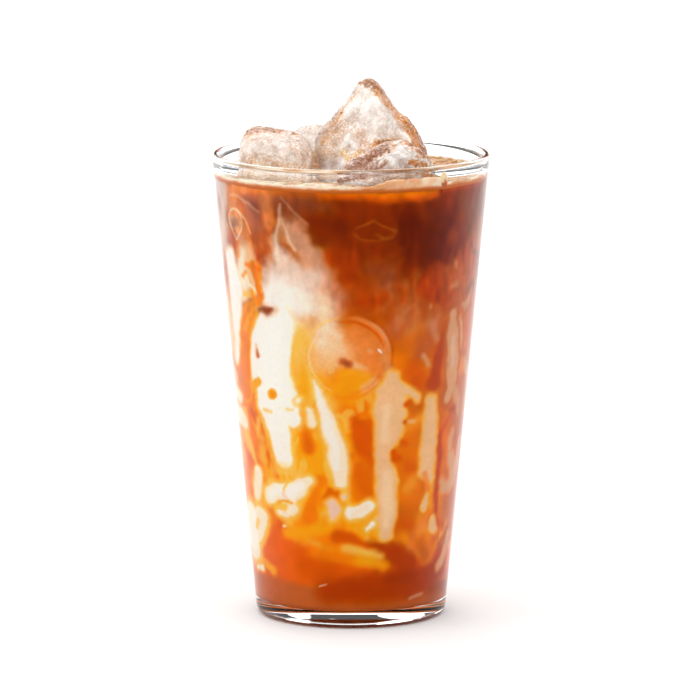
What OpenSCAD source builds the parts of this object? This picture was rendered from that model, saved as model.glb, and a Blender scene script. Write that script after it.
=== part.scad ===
// Iced latte in a tapered glass: a thick-based conical tumbler, the layered
// drink that fills it almost to the rim, and four lumps of ice that stand out
// of the drink. The origin is the middle of the foot, on the table, and +Z is
// up. The front, where the long front lump lies, is -Y. Millimetres.

/* [Glass] */
// Height from the table to the top of the lip
glass_h = 149; // [125:1:180]
// Outer diameter that the straight wall has at the top
rim_d = 88.6; // [74:0.1:107]
// Outer diameter that the straight wall would have at the table
foot_d = 60.6; // [50:0.1:73]
// Wall thickness at the top
rim_wall = 2.2; // [1.6:0.1:3]
// Wall thickness at the table
foot_wall = 3; // [2:0.1:4.5]
// How far the rounded lip stands out of the wall on each side
lip_bead = 0.15; // [0.05:0.05:0.5]
// Thickness of the solid base
base_t = 5.5; // [4:0.1:16]
// Radius of the rounded edge round the foot
foot_round = 2.6; // [1:0.1:4]
// Radius of the corner between the inner wall and the floor
floor_round = 1.8; // [0.5:0.1:6]
// Width of the flat ring that the glass stands on
ring_w = 4; // [2:0.5:8]
// Depth of the hollow under the base
punt_h = 0.9; // [0.4:0.1:2]

/* [Drink] */
// Free height between the drink and the top of the lip
headspace = 5.8; // [4.5:0.1:30]
// Thickness of the foam on the coffee
foam_t = 1.4; // [0.8:0.1:6]
// Depth of the caramel on the floor
caramel_h = 14; // [5:0.5:30]
// Depth of the coffee on the axis, foam included
coffee_h = 50; // [45:1:90]
// Tilt of the border between milk and coffee, up towards -X
border_tilt = 22; // [0:1:25]

/* [Ice] */
// Width of the tall lump in X
tall_w = 35.5; // [26:0.5:43]
// Depth of the tall lump in Y
tall_d = 28; // [20:0.5:34]
// Height of the tall lump above the drink
tall_proud = 29.5; // [15:0.5:40]
// How far the tall lump reaches below the top of the drink
tall_sunk = 27; // [8:0.5:33]
// Distance of the tall lump from the axis, towards +X
tall_off = 6.3; // [0:0.1:8]
// Depth of the left lump in Y
left_d = 26; // [15:0.5:32]
// Height of the left lump above the drink
left_proud = 13.8; // [6:0.1:20]
// Width of the back lump in X
back_w = 24; // [15:0.5:29]
// Height of the back lump above the drink
back_proud = 12; // [6:0.1:20]
// Length of the front lump along the wall
front_l = 36; // [20:0.5:40]
// Height of the front lump above the drink
front_proud = 12.2; // [6:0.1:20]
// How far the other lumps reach below the top of the drink
ice_sunk = 11; // [6:0.5:20]
// Gap between neighbouring lumps
ice_gap = 0.7; // [0.4:0.1:2]
// Gap between a lump and the glass
wall_gap = 0.5; // [0.3:0.1:2]

/* [Hidden] */

// Steps of a quarter-circle arc in a profile, and sides of a full turn.
ARC_STEPS = 6;
TURN_SIDES = 96;
// Points around a lump of ice, and rings of them from pole to pole.
ICE_SIDES = 22;
ICE_RINGS = 11;

drink_top = glass_h - headspace;
foam_bottom = drink_top - foam_t;
caramel_top = base_t + caramel_h;
border_z = drink_top - coffee_h;

// Outer radius, wall thickness and inner radius of the straight wall at height z.
function outer_r(z) = (foot_d + (rim_d - foot_d) * z / glass_h) / 2;
function wall_t(z) = foot_wall + (rim_wall - foot_wall) * z / glass_h;
function inner_r(z) = outer_r(z) - wall_t(z);

// Points of an arc round centre c with radius r, from angle a0 to a1.
function arc(c, r, a0, a1, steps) =
    [for (i = [0:steps]) let (a = a0 + (a1 - a0) * i / steps)
        [c[0] + r * cos(a), c[1] + r * sin(a)]];

// Lean of a wall that widens by dr over the height of the glass.
function lean(dr) = atan2(dr, glass_h);

outer_lean = lean((rim_d - foot_d) / 2);
inner_lean = lean(inner_r(glass_h) - inner_r(0));

// ---- glass ----

// Centre of the circle of radius r that touches a leaning wall from inside
// and the level z below it.
function corner_centre(wall_r, wall_lean, z, r) =
    [wall_r + r * tan(wall_lean) - r / cos(wall_lean), z + r];

// The rounded edge of the foot, from the standing ring up to the wall.
function foot_edge() =
    arc(corner_centre(outer_r(0), outer_lean, 0, foot_round),
        foot_round, -90, -outer_lean, ARC_STEPS);

// The rounded lip, from the outer wall over the top to the inner wall.
function lip_edge() =
    let (half = rim_wall / 2,
         r = half + lip_bead,
         start = acos(half / r))
    arc([outer_r(glass_h) - half, glass_h - r], r, -start, 180 + start, 3 * ARC_STEPS);

// The inner corner at height z, from the wall down to the floor.
function floor_corner() =
    arc(corner_centre(inner_r(base_t), inner_lean, base_t, floor_round),
        floor_round, -inner_lean, -90, ARC_STEPS);

// The shallow hollow under the base, from the axis out to the standing ring.
function punt() =
    let (w = foot_edge()[0][0] - ring_w,
         r = (w * w + punt_h * punt_h) / (2 * punt_h),
         half = asin(w / r))
    arc([0, punt_h - r], r, 90, 90 - half, ARC_STEPS);

module glass() {
    color([0.86, 0.9, 0.9, 0.35])
        rotate_extrude($fn = TURN_SIDES)
            polygon(concat(punt(), foot_edge(), lip_edge(), floor_corner(), [[0, base_t]]));
}

// ---- drink ----

// Everything inside the glass from height z0 to z1. On the floor of the glass
// it has the floor's rounded corner.
module filling(z0, z1) {
    rotate_extrude($fn = TURN_SIDES)
        polygon(z0 <= base_t
            ? concat([[0, z1], [inner_r(z1), z1]], floor_corner(), [[0, base_t]])
            : [[0, z1], [inner_r(z1), z1], [inner_r(z0), z0], [0, z0]]);
}

// Half-space above the tilted border between milk and coffee.
module above_border() {
    side = 2 * glass_h;
    translate([0, 0, border_z])
        rotate([0, border_tilt, 0])
            translate([-side / 2, -side / 2, 0])
                cube([side, side, side]);
}

module caramel() {
    color([0.72, 0.3, 0.07])
        filling(base_t, caramel_top);
}

module milk() {
    color([0.97, 0.86, 0.72])
        difference() {
            filling(caramel_top, foam_bottom);
            above_border();
        }
}

module coffee() {
    color([0.45, 0.16, 0.04])
        difference() {
            intersection() {
                filling(caramel_top, foam_bottom);
                above_border();
            }
            all_ice();
        }
}

module foam() {
    color([0.87, 0.64, 0.42])
        difference() {
            filling(foam_bottom, drink_top);
            all_ice();
        }
}

// ---- ice ----

// A point of a half-melted cube of half size 1: power sets how square it is,
// lumps how much its sides wave, and turn where the waves lie.
function cube_point(lon, lat, power, lumps, turn) =
    let (d = [cos(lon) * cos(lat), sin(lon) * cos(lat), sin(lat)],
         r = pow(pow(abs(d[0]), power) + pow(abs(d[1]), power) + pow(abs(d[2]), power),
                 -1 / power),
         wave = sin(2 * lon + turn) * cos(lat) + 0.6 * sin(3 * lat - turn) * cos(lon - turn))
    d * r * (1 + lumps * wave);

// p turned about X, then Y, then Z by the angles a.
function turned(p, a) =
    let (x = [p[0], p[1] * cos(a[0]) - p[2] * sin(a[0]), p[1] * sin(a[0]) + p[2] * cos(a[0])],
         y = [x[0] * cos(a[1]) + x[2] * sin(a[1]), x[1], x[2] * cos(a[1]) - x[0] * sin(a[1])])
    [y[0] * cos(a[2]) - y[1] * sin(a[2]), y[0] * sin(a[2]) + y[1] * cos(a[2]), y[2]];

// All points of a lump: the lower pole, the rings, and the upper pole.
function lump(angles, power, lumps, turn) =
    [for (i = [0:ICE_RINGS + 1]) let (lat = -90 + 180 * i / (ICE_RINGS + 1))
        for (j = [0:(i == 0 || i == ICE_RINGS + 1 ? 0 : ICE_SIDES - 1)])
            turned(cube_point(360 * j / ICE_SIDES, lat, power, lumps, turn), angles)];

// The lowest and highest value of coordinate k among points.
function low(points, k) = min([for (p = points) p[k]]);
function high(points, k) = max([for (p = points) p[k]]);

// The points stretched to fill the box from corner a to corner b.
function fill_box(points, a, b) =
    let (lo = [for (k = [0:2]) low(points, k)], hi = [for (k = [0:2]) high(points, k)])
    [for (p = points) [for (k = [0:2]) a[k] + (b[k] - a[k]) * (p[k] - lo[k]) / (hi[k] - lo[k])]];

// How far the points reach from the axis in the horizontal direction n.
function reach(points, n) = max([for (p = points) p[0] * n[0] + p[1] * n[1]]);

// Ice stays inside this circle, and a chord of half length h lies this far
// from its middle.
ice_limit_r = inner_r(drink_top - ice_sunk) - wall_gap;
function chord_at(h) = sqrt(ice_limit_r * ice_limit_r - h * h);

TALL_ANGLES = [45, -36, -12];
LEFT_ANGLES = [6, 8, 4];
BACK_ANGLES = [-12, 14, 20];
FRONT_ANGLES = [34, 10, 10];
// Direction of the front lump from the axis, and its place from that direction.
FRONT_TURN = -62;
// The left lump's middle lies this far in front of the axis, the back lump's
// this far to the left of it.
LEFT_FORWARD = 2.5;
BACK_ASIDE = 9;

tall_points =
    fill_box(lump(TALL_ANGLES, 7, 0.02, 40),
             [tall_off - tall_w / 2, -tall_d / 2, drink_top - tall_sunk],
             [tall_off + tall_w / 2, tall_d / 2, drink_top + tall_proud]);

left_points =
    fill_box(lump(LEFT_ANGLES, 4, 0.025, 100),
             [-chord_at(left_d / 2 + LEFT_FORWARD), -left_d / 2 - LEFT_FORWARD,
              drink_top - ice_sunk],
             [-reach(tall_points, [-1, 0]) - ice_gap, left_d / 2 - LEFT_FORWARD,
              drink_top + left_proud]);

back_points =
    fill_box(lump(BACK_ANGLES, 4, 0.025, 200),
             [-BACK_ASIDE - back_w / 2, reach(concat(tall_points, left_points), [0, 1]) + ice_gap,
              drink_top - ice_sunk],
             [-BACK_ASIDE + back_w / 2, chord_at(BACK_ASIDE + back_w / 2),
              drink_top + back_proud]);

// The front lump is laid out along +X and then turned to its place.
front_dir = [cos(FRONT_TURN), sin(FRONT_TURN)];
front_points =
    [for (p = fill_box(lump(FRONT_ANGLES, 4, 0.03, 300),
                       [reach(tall_points, front_dir) + ice_gap, -front_l / 2,
                        drink_top - ice_sunk],
                       [chord_at(front_l / 2), front_l / 2, drink_top + front_proud]))
        turned(p, [0, 0, FRONT_TURN])];

// A closed solid from a lump's points, whose rings run from pole to pole.
module ice_solid(points) {
    last = len(points) - 1;
    function at(ring, side) = 1 + ring * ICE_SIDES + side % ICE_SIDES;
    sides = [0:ICE_SIDES - 1];
    bottom = [for (j = sides) [0, at(0, j), at(0, j + 1)]];
    top = [for (j = sides) [last, at(ICE_RINGS - 1, j + 1), at(ICE_RINGS - 1, j)]];
    middle = [for (i = [0:ICE_RINGS - 2]) for (j = sides)
        each [[at(i, j), at(i + 1, j), at(i + 1, j + 1)],
              [at(i, j), at(i + 1, j + 1), at(i, j + 1)]]];
    color([0.93, 0.9, 0.87, 0.7])
        polyhedron(points, concat(bottom, middle, top));
}

module ice_tall() {
    ice_solid(tall_points);
}

module ice_left() {
    ice_solid(left_points);
}

module ice_back() {
    ice_solid(back_points);
}

module ice_front() {
    ice_solid(front_points);
}

module all_ice() {
    ice_tall();
    ice_left();
    ice_back();
    ice_front();
}

glass();
caramel();
milk();
coffee();
foam();
ice_tall();
ice_left();
ice_back();
ice_front();
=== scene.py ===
"""Looks of an iced latte: a clear tapered glass, the streaked drink in it, its foam and its ice.

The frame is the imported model's: metres, +Z up, the origin in the middle of the foot, and the front of the
glass towards -Y. Places on the wall of the drink are given as (angle, height): the angle in degrees round
the axis, 0 at the front and growing towards +X, and the height in millimetres above the table.
"""
import logging
import math
from collections.abc import Callable
from dataclasses import dataclass, field
from enum import Enum

import bpy
import numpy as np
from mathutils import Euler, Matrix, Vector


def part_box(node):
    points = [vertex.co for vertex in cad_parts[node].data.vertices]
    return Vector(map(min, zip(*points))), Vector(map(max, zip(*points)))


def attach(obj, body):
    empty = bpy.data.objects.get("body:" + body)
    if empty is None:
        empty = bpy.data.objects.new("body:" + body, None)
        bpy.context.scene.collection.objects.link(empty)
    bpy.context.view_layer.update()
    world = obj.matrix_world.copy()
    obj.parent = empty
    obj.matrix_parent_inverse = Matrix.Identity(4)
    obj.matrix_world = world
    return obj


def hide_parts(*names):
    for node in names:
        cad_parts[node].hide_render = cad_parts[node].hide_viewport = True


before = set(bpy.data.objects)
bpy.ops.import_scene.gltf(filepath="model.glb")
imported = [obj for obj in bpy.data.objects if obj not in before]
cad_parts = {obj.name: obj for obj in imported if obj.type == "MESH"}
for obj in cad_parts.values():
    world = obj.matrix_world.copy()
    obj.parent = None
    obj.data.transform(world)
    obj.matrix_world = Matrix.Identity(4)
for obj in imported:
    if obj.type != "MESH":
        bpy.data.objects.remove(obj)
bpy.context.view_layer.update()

Array = np.ndarray
Pair = tuple[float, float]
Triple = tuple[float, float, float]
Rgba = tuple[float, float, float, float]
Path = tuple[Triple, ...]
Piece = bpy.types.Object
Look = bpy.types.Material
Socket = bpy.types.NodeSocket

MM = 0.001
HAZE = 0.006  # linear light that the glass adds in front of what lies behind it
BODY = "root"
LOG = logging.getLogger("iced_latte")


# ---- noise and small sums

def fade(t: Array) -> Array:
    """Return the smooth step 6t^5 - 15t^4 + 10t^3 of t, which runs from 0 to 1."""
    return t * t * t * (t * (t * 6 - 15) + 10)


def ramp(value: Array, low: float, high: float) -> Array:
    """Return 0 where value is at low, 1 where it is at high, and a smooth step between.

    Args:
        value: Any array.
        low: The value that gives 0.
        high: The value that gives 1, above or below low.

    Returns:
        An array of the same shape, from 0 to 1.
    """
    return fade(np.clip((value - low) / (high - low), 0, 1))


def lattice(ix: Array, iy: Array, iz: Array, seed: int) -> Array:
    """Return a fixed random number from 0 to 1 for each whole-number corner and seed.

    Args:
        ix: First coordinate of each corner.
        iy: Second coordinate of each corner.
        iz: Third coordinate of each corner.
        seed: Picks one of many patterns.

    Returns:
        The numbers, made by multiplying and folding the bits of the coordinates.
    """
    h = (ix * 374761393 + iy * 668265263 + iz * 2147483647 + seed * 974634777) & 0xFFFFFFFF
    h = ((h ^ (h >> 13)) * 1274126177) & 0xFFFFFFFF
    h = ((h ^ (h >> 16)) * 2246822519) & 0xFFFFFFFF
    return ((h ^ (h >> 15)) & 0xFFFFFF) / float(0xFFFFFF)


def smooth_noise(points: Array, seed: int) -> Array:
    """Return noise from -1 to 1: the corner numbers of each unit cell, blended with fade().

    Args:
        points: Positions, with the three coordinates last.
        seed: Picks the pattern.

    Returns:
        One number for each position.
    """
    base = np.floor(points)
    near = fade(points - base)
    far = 1 - near
    cell = base.astype(np.int64)
    total = np.zeros(points.shape[:-1])
    for corner in range(8):
        step = (corner & 1, corner >> 1 & 1, corner >> 2 & 1)
        share = 1.0
        for axis in range(3):
            share = share * (near if step[axis] else far)[..., axis]
        total += share * lattice(cell[..., 0] + step[0], cell[..., 1] + step[1],
                                 cell[..., 2] + step[2], seed)
    return total * 2 - 1


def cloud_noise(points: Array, seed: int, octaves: int = 3) -> Array:
    """Return a sum of smooth noises, each twice as fine and half as strong as the one before.

    Args:
        points: Positions, with the three coordinates last.
        seed: Picks the pattern.
        octaves: How many noises are added.

    Returns:
        One number from -1 to 1 for each position.
    """
    total = np.zeros(points.shape[:-1])
    for k in range(octaves):
        total += smooth_noise(points * 2 ** k + 7.3 * k, seed + k) / 2 ** k
    return total / (2 - 2 ** (1 - octaves))


def cell_noise(points: Array, seed: int) -> Array:
    """Return the distance from each position to the nearest of scattered centres, one in each unit cell.

    Args:
        points: Positions, with the three coordinates last.
        seed: Picks the pattern.

    Returns:
        One distance for each position, about 0 to 1.
    """
    cell = np.floor(points).astype(np.int64)
    best = np.full(points.shape[:-1], 9.0)
    for dx in (-1, 0, 1):
        for dy in (-1, 0, 1):
            for dz in (-1, 0, 1):
                corner = cell + np.array([dx, dy, dz])
                x, y, z = (corner[..., k] for k in range(3))
                centre = np.stack([x + lattice(x, y, z, seed), y + lattice(x, y, z, seed + 1),
                                   z + lattice(x, y, z, seed + 2)], -1)
                best = np.minimum(best, np.linalg.norm(points - centre, axis=-1))
    return best


def laid_over(colour: Array, tone: Array | tuple[int, int, int], cover: Array) -> Array:
    """Return colours under a tone that covers each of them by a share from 0 to 1."""
    return colour + (np.array(tone) - colour) * cover[..., None]


def linear_light(tone: Array) -> Array:
    """Return screen colours from 0 to 255 as linear light, by the usual 2.4 power curve."""
    c = np.clip(tone / 255.0, 0, 1)
    return np.where(c <= 0.04045, c / 12.92, ((c + 0.055) / 1.055) ** 2.4)


# ---- meshes

@dataclass
class Surface:
    """Points of a surface, its faces, and the values that its points carry."""

    points: Array
    quads: Array
    triangles: Array
    values: dict[str, Array] = field(default_factory=dict)

    @classmethod
    def turned(cls, rows: Array, values: dict[str, Array] | None = None) -> "Surface":
        """Close a stack of rings into a solid.

        Args:
            rows: Points as (ring, side, 3), the rings in order from the lower pole to the upper one and
                each ring running counterclockwise seen from above. The first and last rings shrink to
                their mean, which becomes a pole.
            values: What the points carry, as (ring, side) or (ring, side, 4) arrays.

        Returns:
            The closed surface, with its faces outward.
        """
        rings, sides = rows.shape[:2]
        inner = rows[1:-1].reshape(-1, 3)
        points = np.vstack([inner, rows[0].mean(0), rows[-1].mean(0)])
        low, high = len(inner), len(inner) + 1
        j = np.arange(sides)
        k = (j + 1) % sides
        i = np.arange(rings - 3)[:, None] * sides
        quads = np.stack([i + j, i + k, i + sides + k, i + sides + j], -1).reshape(-1, 4)
        top = (rings - 3) * sides
        fans = np.vstack([np.stack([np.full(sides, low), k, j], -1),
                          np.stack([np.full(sides, high), top + j, top + k], -1)])
        carried = {}
        for name, value in (values or {}).items():
            flat = value[1:-1].reshape((-1,) + value.shape[2:])
            carried[name] = np.concatenate([flat, value[:1].mean(1), value[-1:].mean(1)])
        return cls(points, quads, fans, carried)

    def piece(self, name: str) -> Piece:
        """Put the surface into the scene as a smooth mesh.

        Args:
            name: Name of the new object.

        Returns:
            The object, at the origin, with its place in its mesh.
        """
        mesh = bpy.data.meshes.new(name)
        corners = np.concatenate([self.quads.ravel(), self.triangles.ravel()]).astype(np.int32)
        counts = np.concatenate([np.full(len(self.quads), 4), np.full(len(self.triangles), 3)])
        starts = np.concatenate([[0], np.cumsum(counts)[:-1]]).astype(np.int32)
        mesh.vertices.add(len(self.points))
        mesh.vertices.foreach_set("co", self.points.astype(np.float32).ravel())
        mesh.loops.add(len(corners))
        mesh.loops.foreach_set("vertex_index", corners)
        mesh.polygons.add(len(counts))
        mesh.polygons.foreach_set("loop_start", starts)
        mesh.polygons.foreach_set("use_smooth", np.ones(len(counts), bool))
        mesh.update(calc_edges=True)
        mesh.validate()
        for key, value in self.values.items():
            if value.ndim == 2:
                layer = mesh.attributes.new(key, "FLOAT_COLOR", "POINT")
                layer.data.foreach_set("color", value.astype(np.float32).ravel())
            else:
                layer = mesh.attributes.new(key, "FLOAT", "POINT")
                layer.data.foreach_set("value", value.astype(np.float32).ravel())
        thing = bpy.data.objects.new(name, mesh)
        bpy.context.scene.collection.objects.link(thing)
        return thing


def arc(centre: Pair, radius: float, start: float, end: float, steps: int) -> Array:
    """Return points of a circle's arc.

    Args:
        centre: Middle of the circle.
        radius: Its radius.
        start: Angle of the first point, in degrees.
        end: Angle of the last point.
        steps: Number of equal steps between them.

    Returns:
        The points as (steps + 1, 2).
    """
    a = np.radians(np.linspace(start, end, steps + 1))
    return np.stack([centre[0] + radius * np.cos(a), centre[1] + radius * np.sin(a)], -1)


def around(r: Array, a: Array, z: Array) -> Array:
    """Return points at radius r and height z, turned by the angle a from the front towards +X."""
    return np.stack([r * np.sin(a), -r * np.cos(a), z + 0 * a], -1)


def line(start: Pair, end: Pair, steps: int) -> Array:
    """Return steps + 1 points that divide the line from start to end evenly."""
    t = np.linspace(0, 1, steps + 1)[:, None]
    return np.array(start) * (1 - t) + np.array(end) * t


def revolve(profile: Array, sides: int) -> Array:
    """Carry a profile round the axis.

    Args:
        profile: Points as (radius, height) from the lower pole to the upper one.
        sides: Points in a full turn.

    Returns:
        Points as (profile point, side, 3): x = r sin a, y = -r cos a, z = the height, where a grows from
        the front towards +X.
    """
    a = np.linspace(0, 2 * math.pi, sides, endpoint=False)
    return around(profile[:, :1], a, profile[:, 1:])


def turn_angle(points: Array) -> Array:
    """Return the angle of each point round the axis, in degrees from the front towards +X."""
    return np.degrees(np.arctan2(points[..., 0], -points[..., 1]))


def scattered_beads(centres: Array, outward: Array, sizes: Array, flat: float, rows: int = 5,
                    sides: int = 8) -> Surface:
    """Return one small flattened ball at each centre, as one surface.

    Args:
        centres: Middles of the balls, as (n, 3).
        outward: Unit direction along which each ball is flattened, as (n, 3).
        sizes: Radius of each ball.
        flat: Height of a ball over its width.
        rows: Rings between the poles of a ball.
        sides: Points in a ring.

    Returns:
        The joined balls. A point is its centre + size * (cos b cos a * u + cos b sin a * v +
        flat * sin b * outward), where u and v are square to outward.
    """
    up = np.where(np.abs(outward[:, 2:]) < 0.9, [[0.0, 0.0, 1.0]], [[1.0, 0.0, 0.0]])
    u = np.cross(up, outward)
    u /= np.linalg.norm(u, axis=1, keepdims=True)
    v = np.cross(outward, u)
    b = np.linspace(-math.pi / 2, math.pi / 2, rows + 2)[:, None]
    a = np.linspace(0, 2 * math.pi, sides, endpoint=False)[None, :]
    shape = np.stack([np.cos(b) * np.cos(a), np.cos(b) * np.sin(a), flat * np.sin(b) + 0 * a], -1)
    unit = Surface.turned(shape)
    local = unit.points[None] * sizes[:, None, None]
    points = (centres[:, None] + local[..., :1] * u[:, None] + local[..., 1:2] * v[:, None]
              + local[..., 2:] * outward[:, None])
    shift = (np.arange(len(centres)) * len(unit.points))[:, None, None]
    return Surface(points.reshape(-1, 3), (unit.quads[None] + shift).reshape(-1, 4),
                   (unit.triangles[None] + shift).reshape(-1, 3))


# ---- the colours in the drink

class Tone(Enum):
    """Colours of the drink as they show through the glass: red, green and blue from 0 to 255."""

    CREAM = (255, 249, 241)
    IVORY = (255, 236, 210)
    ROSE = (238, 206, 186)
    OAT = (242, 198, 146)
    VANILLA = (252, 226, 186)
    PEACH = (246, 196, 140)
    BLUSH = (222, 160, 128)
    HONEY = (255, 200, 88)
    AMBER = (253, 166, 22)
    ORANGE = (244, 128, 8)
    SALMON = (242, 140, 62)
    CORAL = (236, 102, 20)
    BURNT = (222, 92, 4)
    TOFFEE = (212, 104, 10)
    SIENNA = (202, 100, 44)
    RUST = (184, 64, 2)
    MAROON = (144, 48, 0)
    ESPRESSO = (98, 26, 0)
    TAN = (226, 168, 120)
    COCOA = (146, 74, 46)
    FILM = (188, 110, 28)
    UMBER = (140, 80, 28)
    BARK = (134, 82, 56)
    # painted reflection: the pale haze that the glass wall reflects at the left edge of the drink
    REFLECTED_HAZE = (226, 214, 208)


@dataclass(frozen=True)
class Band:
    """A layer of one tone all round the glass, between two heights that waver by its edge."""

    tone: Tone
    low: float
    high: float
    edge: float


@dataclass(frozen=True)
class Stain:
    """A streak, drip or blot of one tone on the wall of the drink.

    Its path is a chain of (angle, height, half width in mm). Its edge is the width over which it fades, its
    ragged value how far the outline wanders, both in mm. Its share is how much it covers in its middle.
    Grain breaks up a stain on ice.
    """

    tone: Tone
    path: Path
    edge: float = 0.8
    ragged: float = 0.6
    share: float = 1.0
    grain: float = 0.0

    def near(self, angle: Array, height: Array) -> Array:
        """Return which places the stain may reach.

        Args:
            angle: Angle of each place, in degrees.
            height: Height of each place, in mm.

        Returns:
            True where a place is inside the box round the path, with room for its width and its wandering.
        """
        a, z, w = np.array(self.path).T
        room = w.max() + self.edge + 1.5 * self.ragged
        mid, half = (a.min() + a.max()) / 2, (a.max() - a.min()) / 2 + 2.2 * room
        return ((np.abs((angle - mid + 180) % 360 - 180) < half) & (height > z.min() - room)
                & (height < z.max() + room))

    def cover(self, angle: Array, height: Array, radius: Array) -> Array:
        """Return how much of each place the stain covers, from 0 to 1.

        Args:
            angle: Angle of each place, in degrees.
            height: Height of each place, in mm.
            radius: Distance of each place from the axis, in mm.

        Returns:
            The cover. Each link of the path is a rod with round ends and a width that changes evenly, so
            the distance to it is that to the nearest point of its middle line, less the half width there.
        """
        best = np.full(angle.shape, 1e9)
        arc_mm = np.radians(1) * radius
        for (a0, z0, w0), (a1, z1, w1) in zip(self.path, self.path[1:] or self.path):
            x = ((angle - a0 + 180) % 360 - 180) * arc_mm
            dx, dy = (a1 - a0) * arc_mm, z1 - z0
            t = np.clip((x * dx + (height - z0) * dy) / (dx * dx + dy * dy + 1e-9), 0, 1)
            best = np.minimum(best, np.hypot(x - t * dx, height - z0 - t * dy) - w0 - t * (w1 - w0))
        return ramp(best, self.edge, -self.edge) * self.share


def lay(tone: Tone, *paths: Path, edge: float = 0.8, ragged: float = 0.6, share: float = 1.0,
        grain: float = 0.0) -> list[Stain]:
    """Return one stain of a tone along each path."""
    return [Stain(tone, path, edge, ragged, share, grain) for path in paths]


def pour(tone: Tone, *paths: Path, halo: Tone = Tone.HONEY, spread: float = 1.8, edge: float = 0.75,
         ragged: float = 0.8) -> list[Stain]:
    """Return drips of milk, each in a wider halo where the caramel over it is thin.

    Args:
        tone: Colour of the milk.
        paths: One chain of (angle, height, half width) for each drip.
        halo: Colour of the thin caramel.
        spread: How far the halo stands out, in mm.
        edge: Width over which the milk fades, in mm.
        ragged: How far the outline wanders, in mm.

    Returns:
        All the halos and then all the drips, so that drips that touch run together.
    """
    wide = [tuple((a, z, w + spread) for a, z, w in path) for path in paths]
    return (lay(halo, *wide, edge=1.1 * spread, ragged=ragged, share=0.85)
            + lay(tone, *paths, edge=edge, ragged=ragged))


def hoop(angle: float, height: float, radius: float, start: float, end: float, half: float,
         degree_mm: float = 0.63, steps: int = 14) -> Path:
    """Return part of a ring on the wall as a path.

    Args:
        angle: Angle of the middle of the ring, in degrees.
        height: Height of the middle, in mm.
        radius: Radius of the ring, in mm.
        start: Where the part begins, in degrees clockwise from the top.
        end: Where it ends.
        half: Half width of the line in its middle, in mm. It thins towards its ends.
        degree_mm: Length of one degree of the wall, in mm.
        steps: Links in the path.

    Returns:
        The chain of (angle, height, half width).
    """
    turn = np.radians(np.linspace(start, end, steps + 1))
    taper = 0.35 + 0.65 * np.sin(np.linspace(0, math.pi, steps + 1))
    return tuple(zip(angle + radius * np.sin(turn) / degree_mm, height + radius * np.cos(turn), half * taper))


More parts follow.
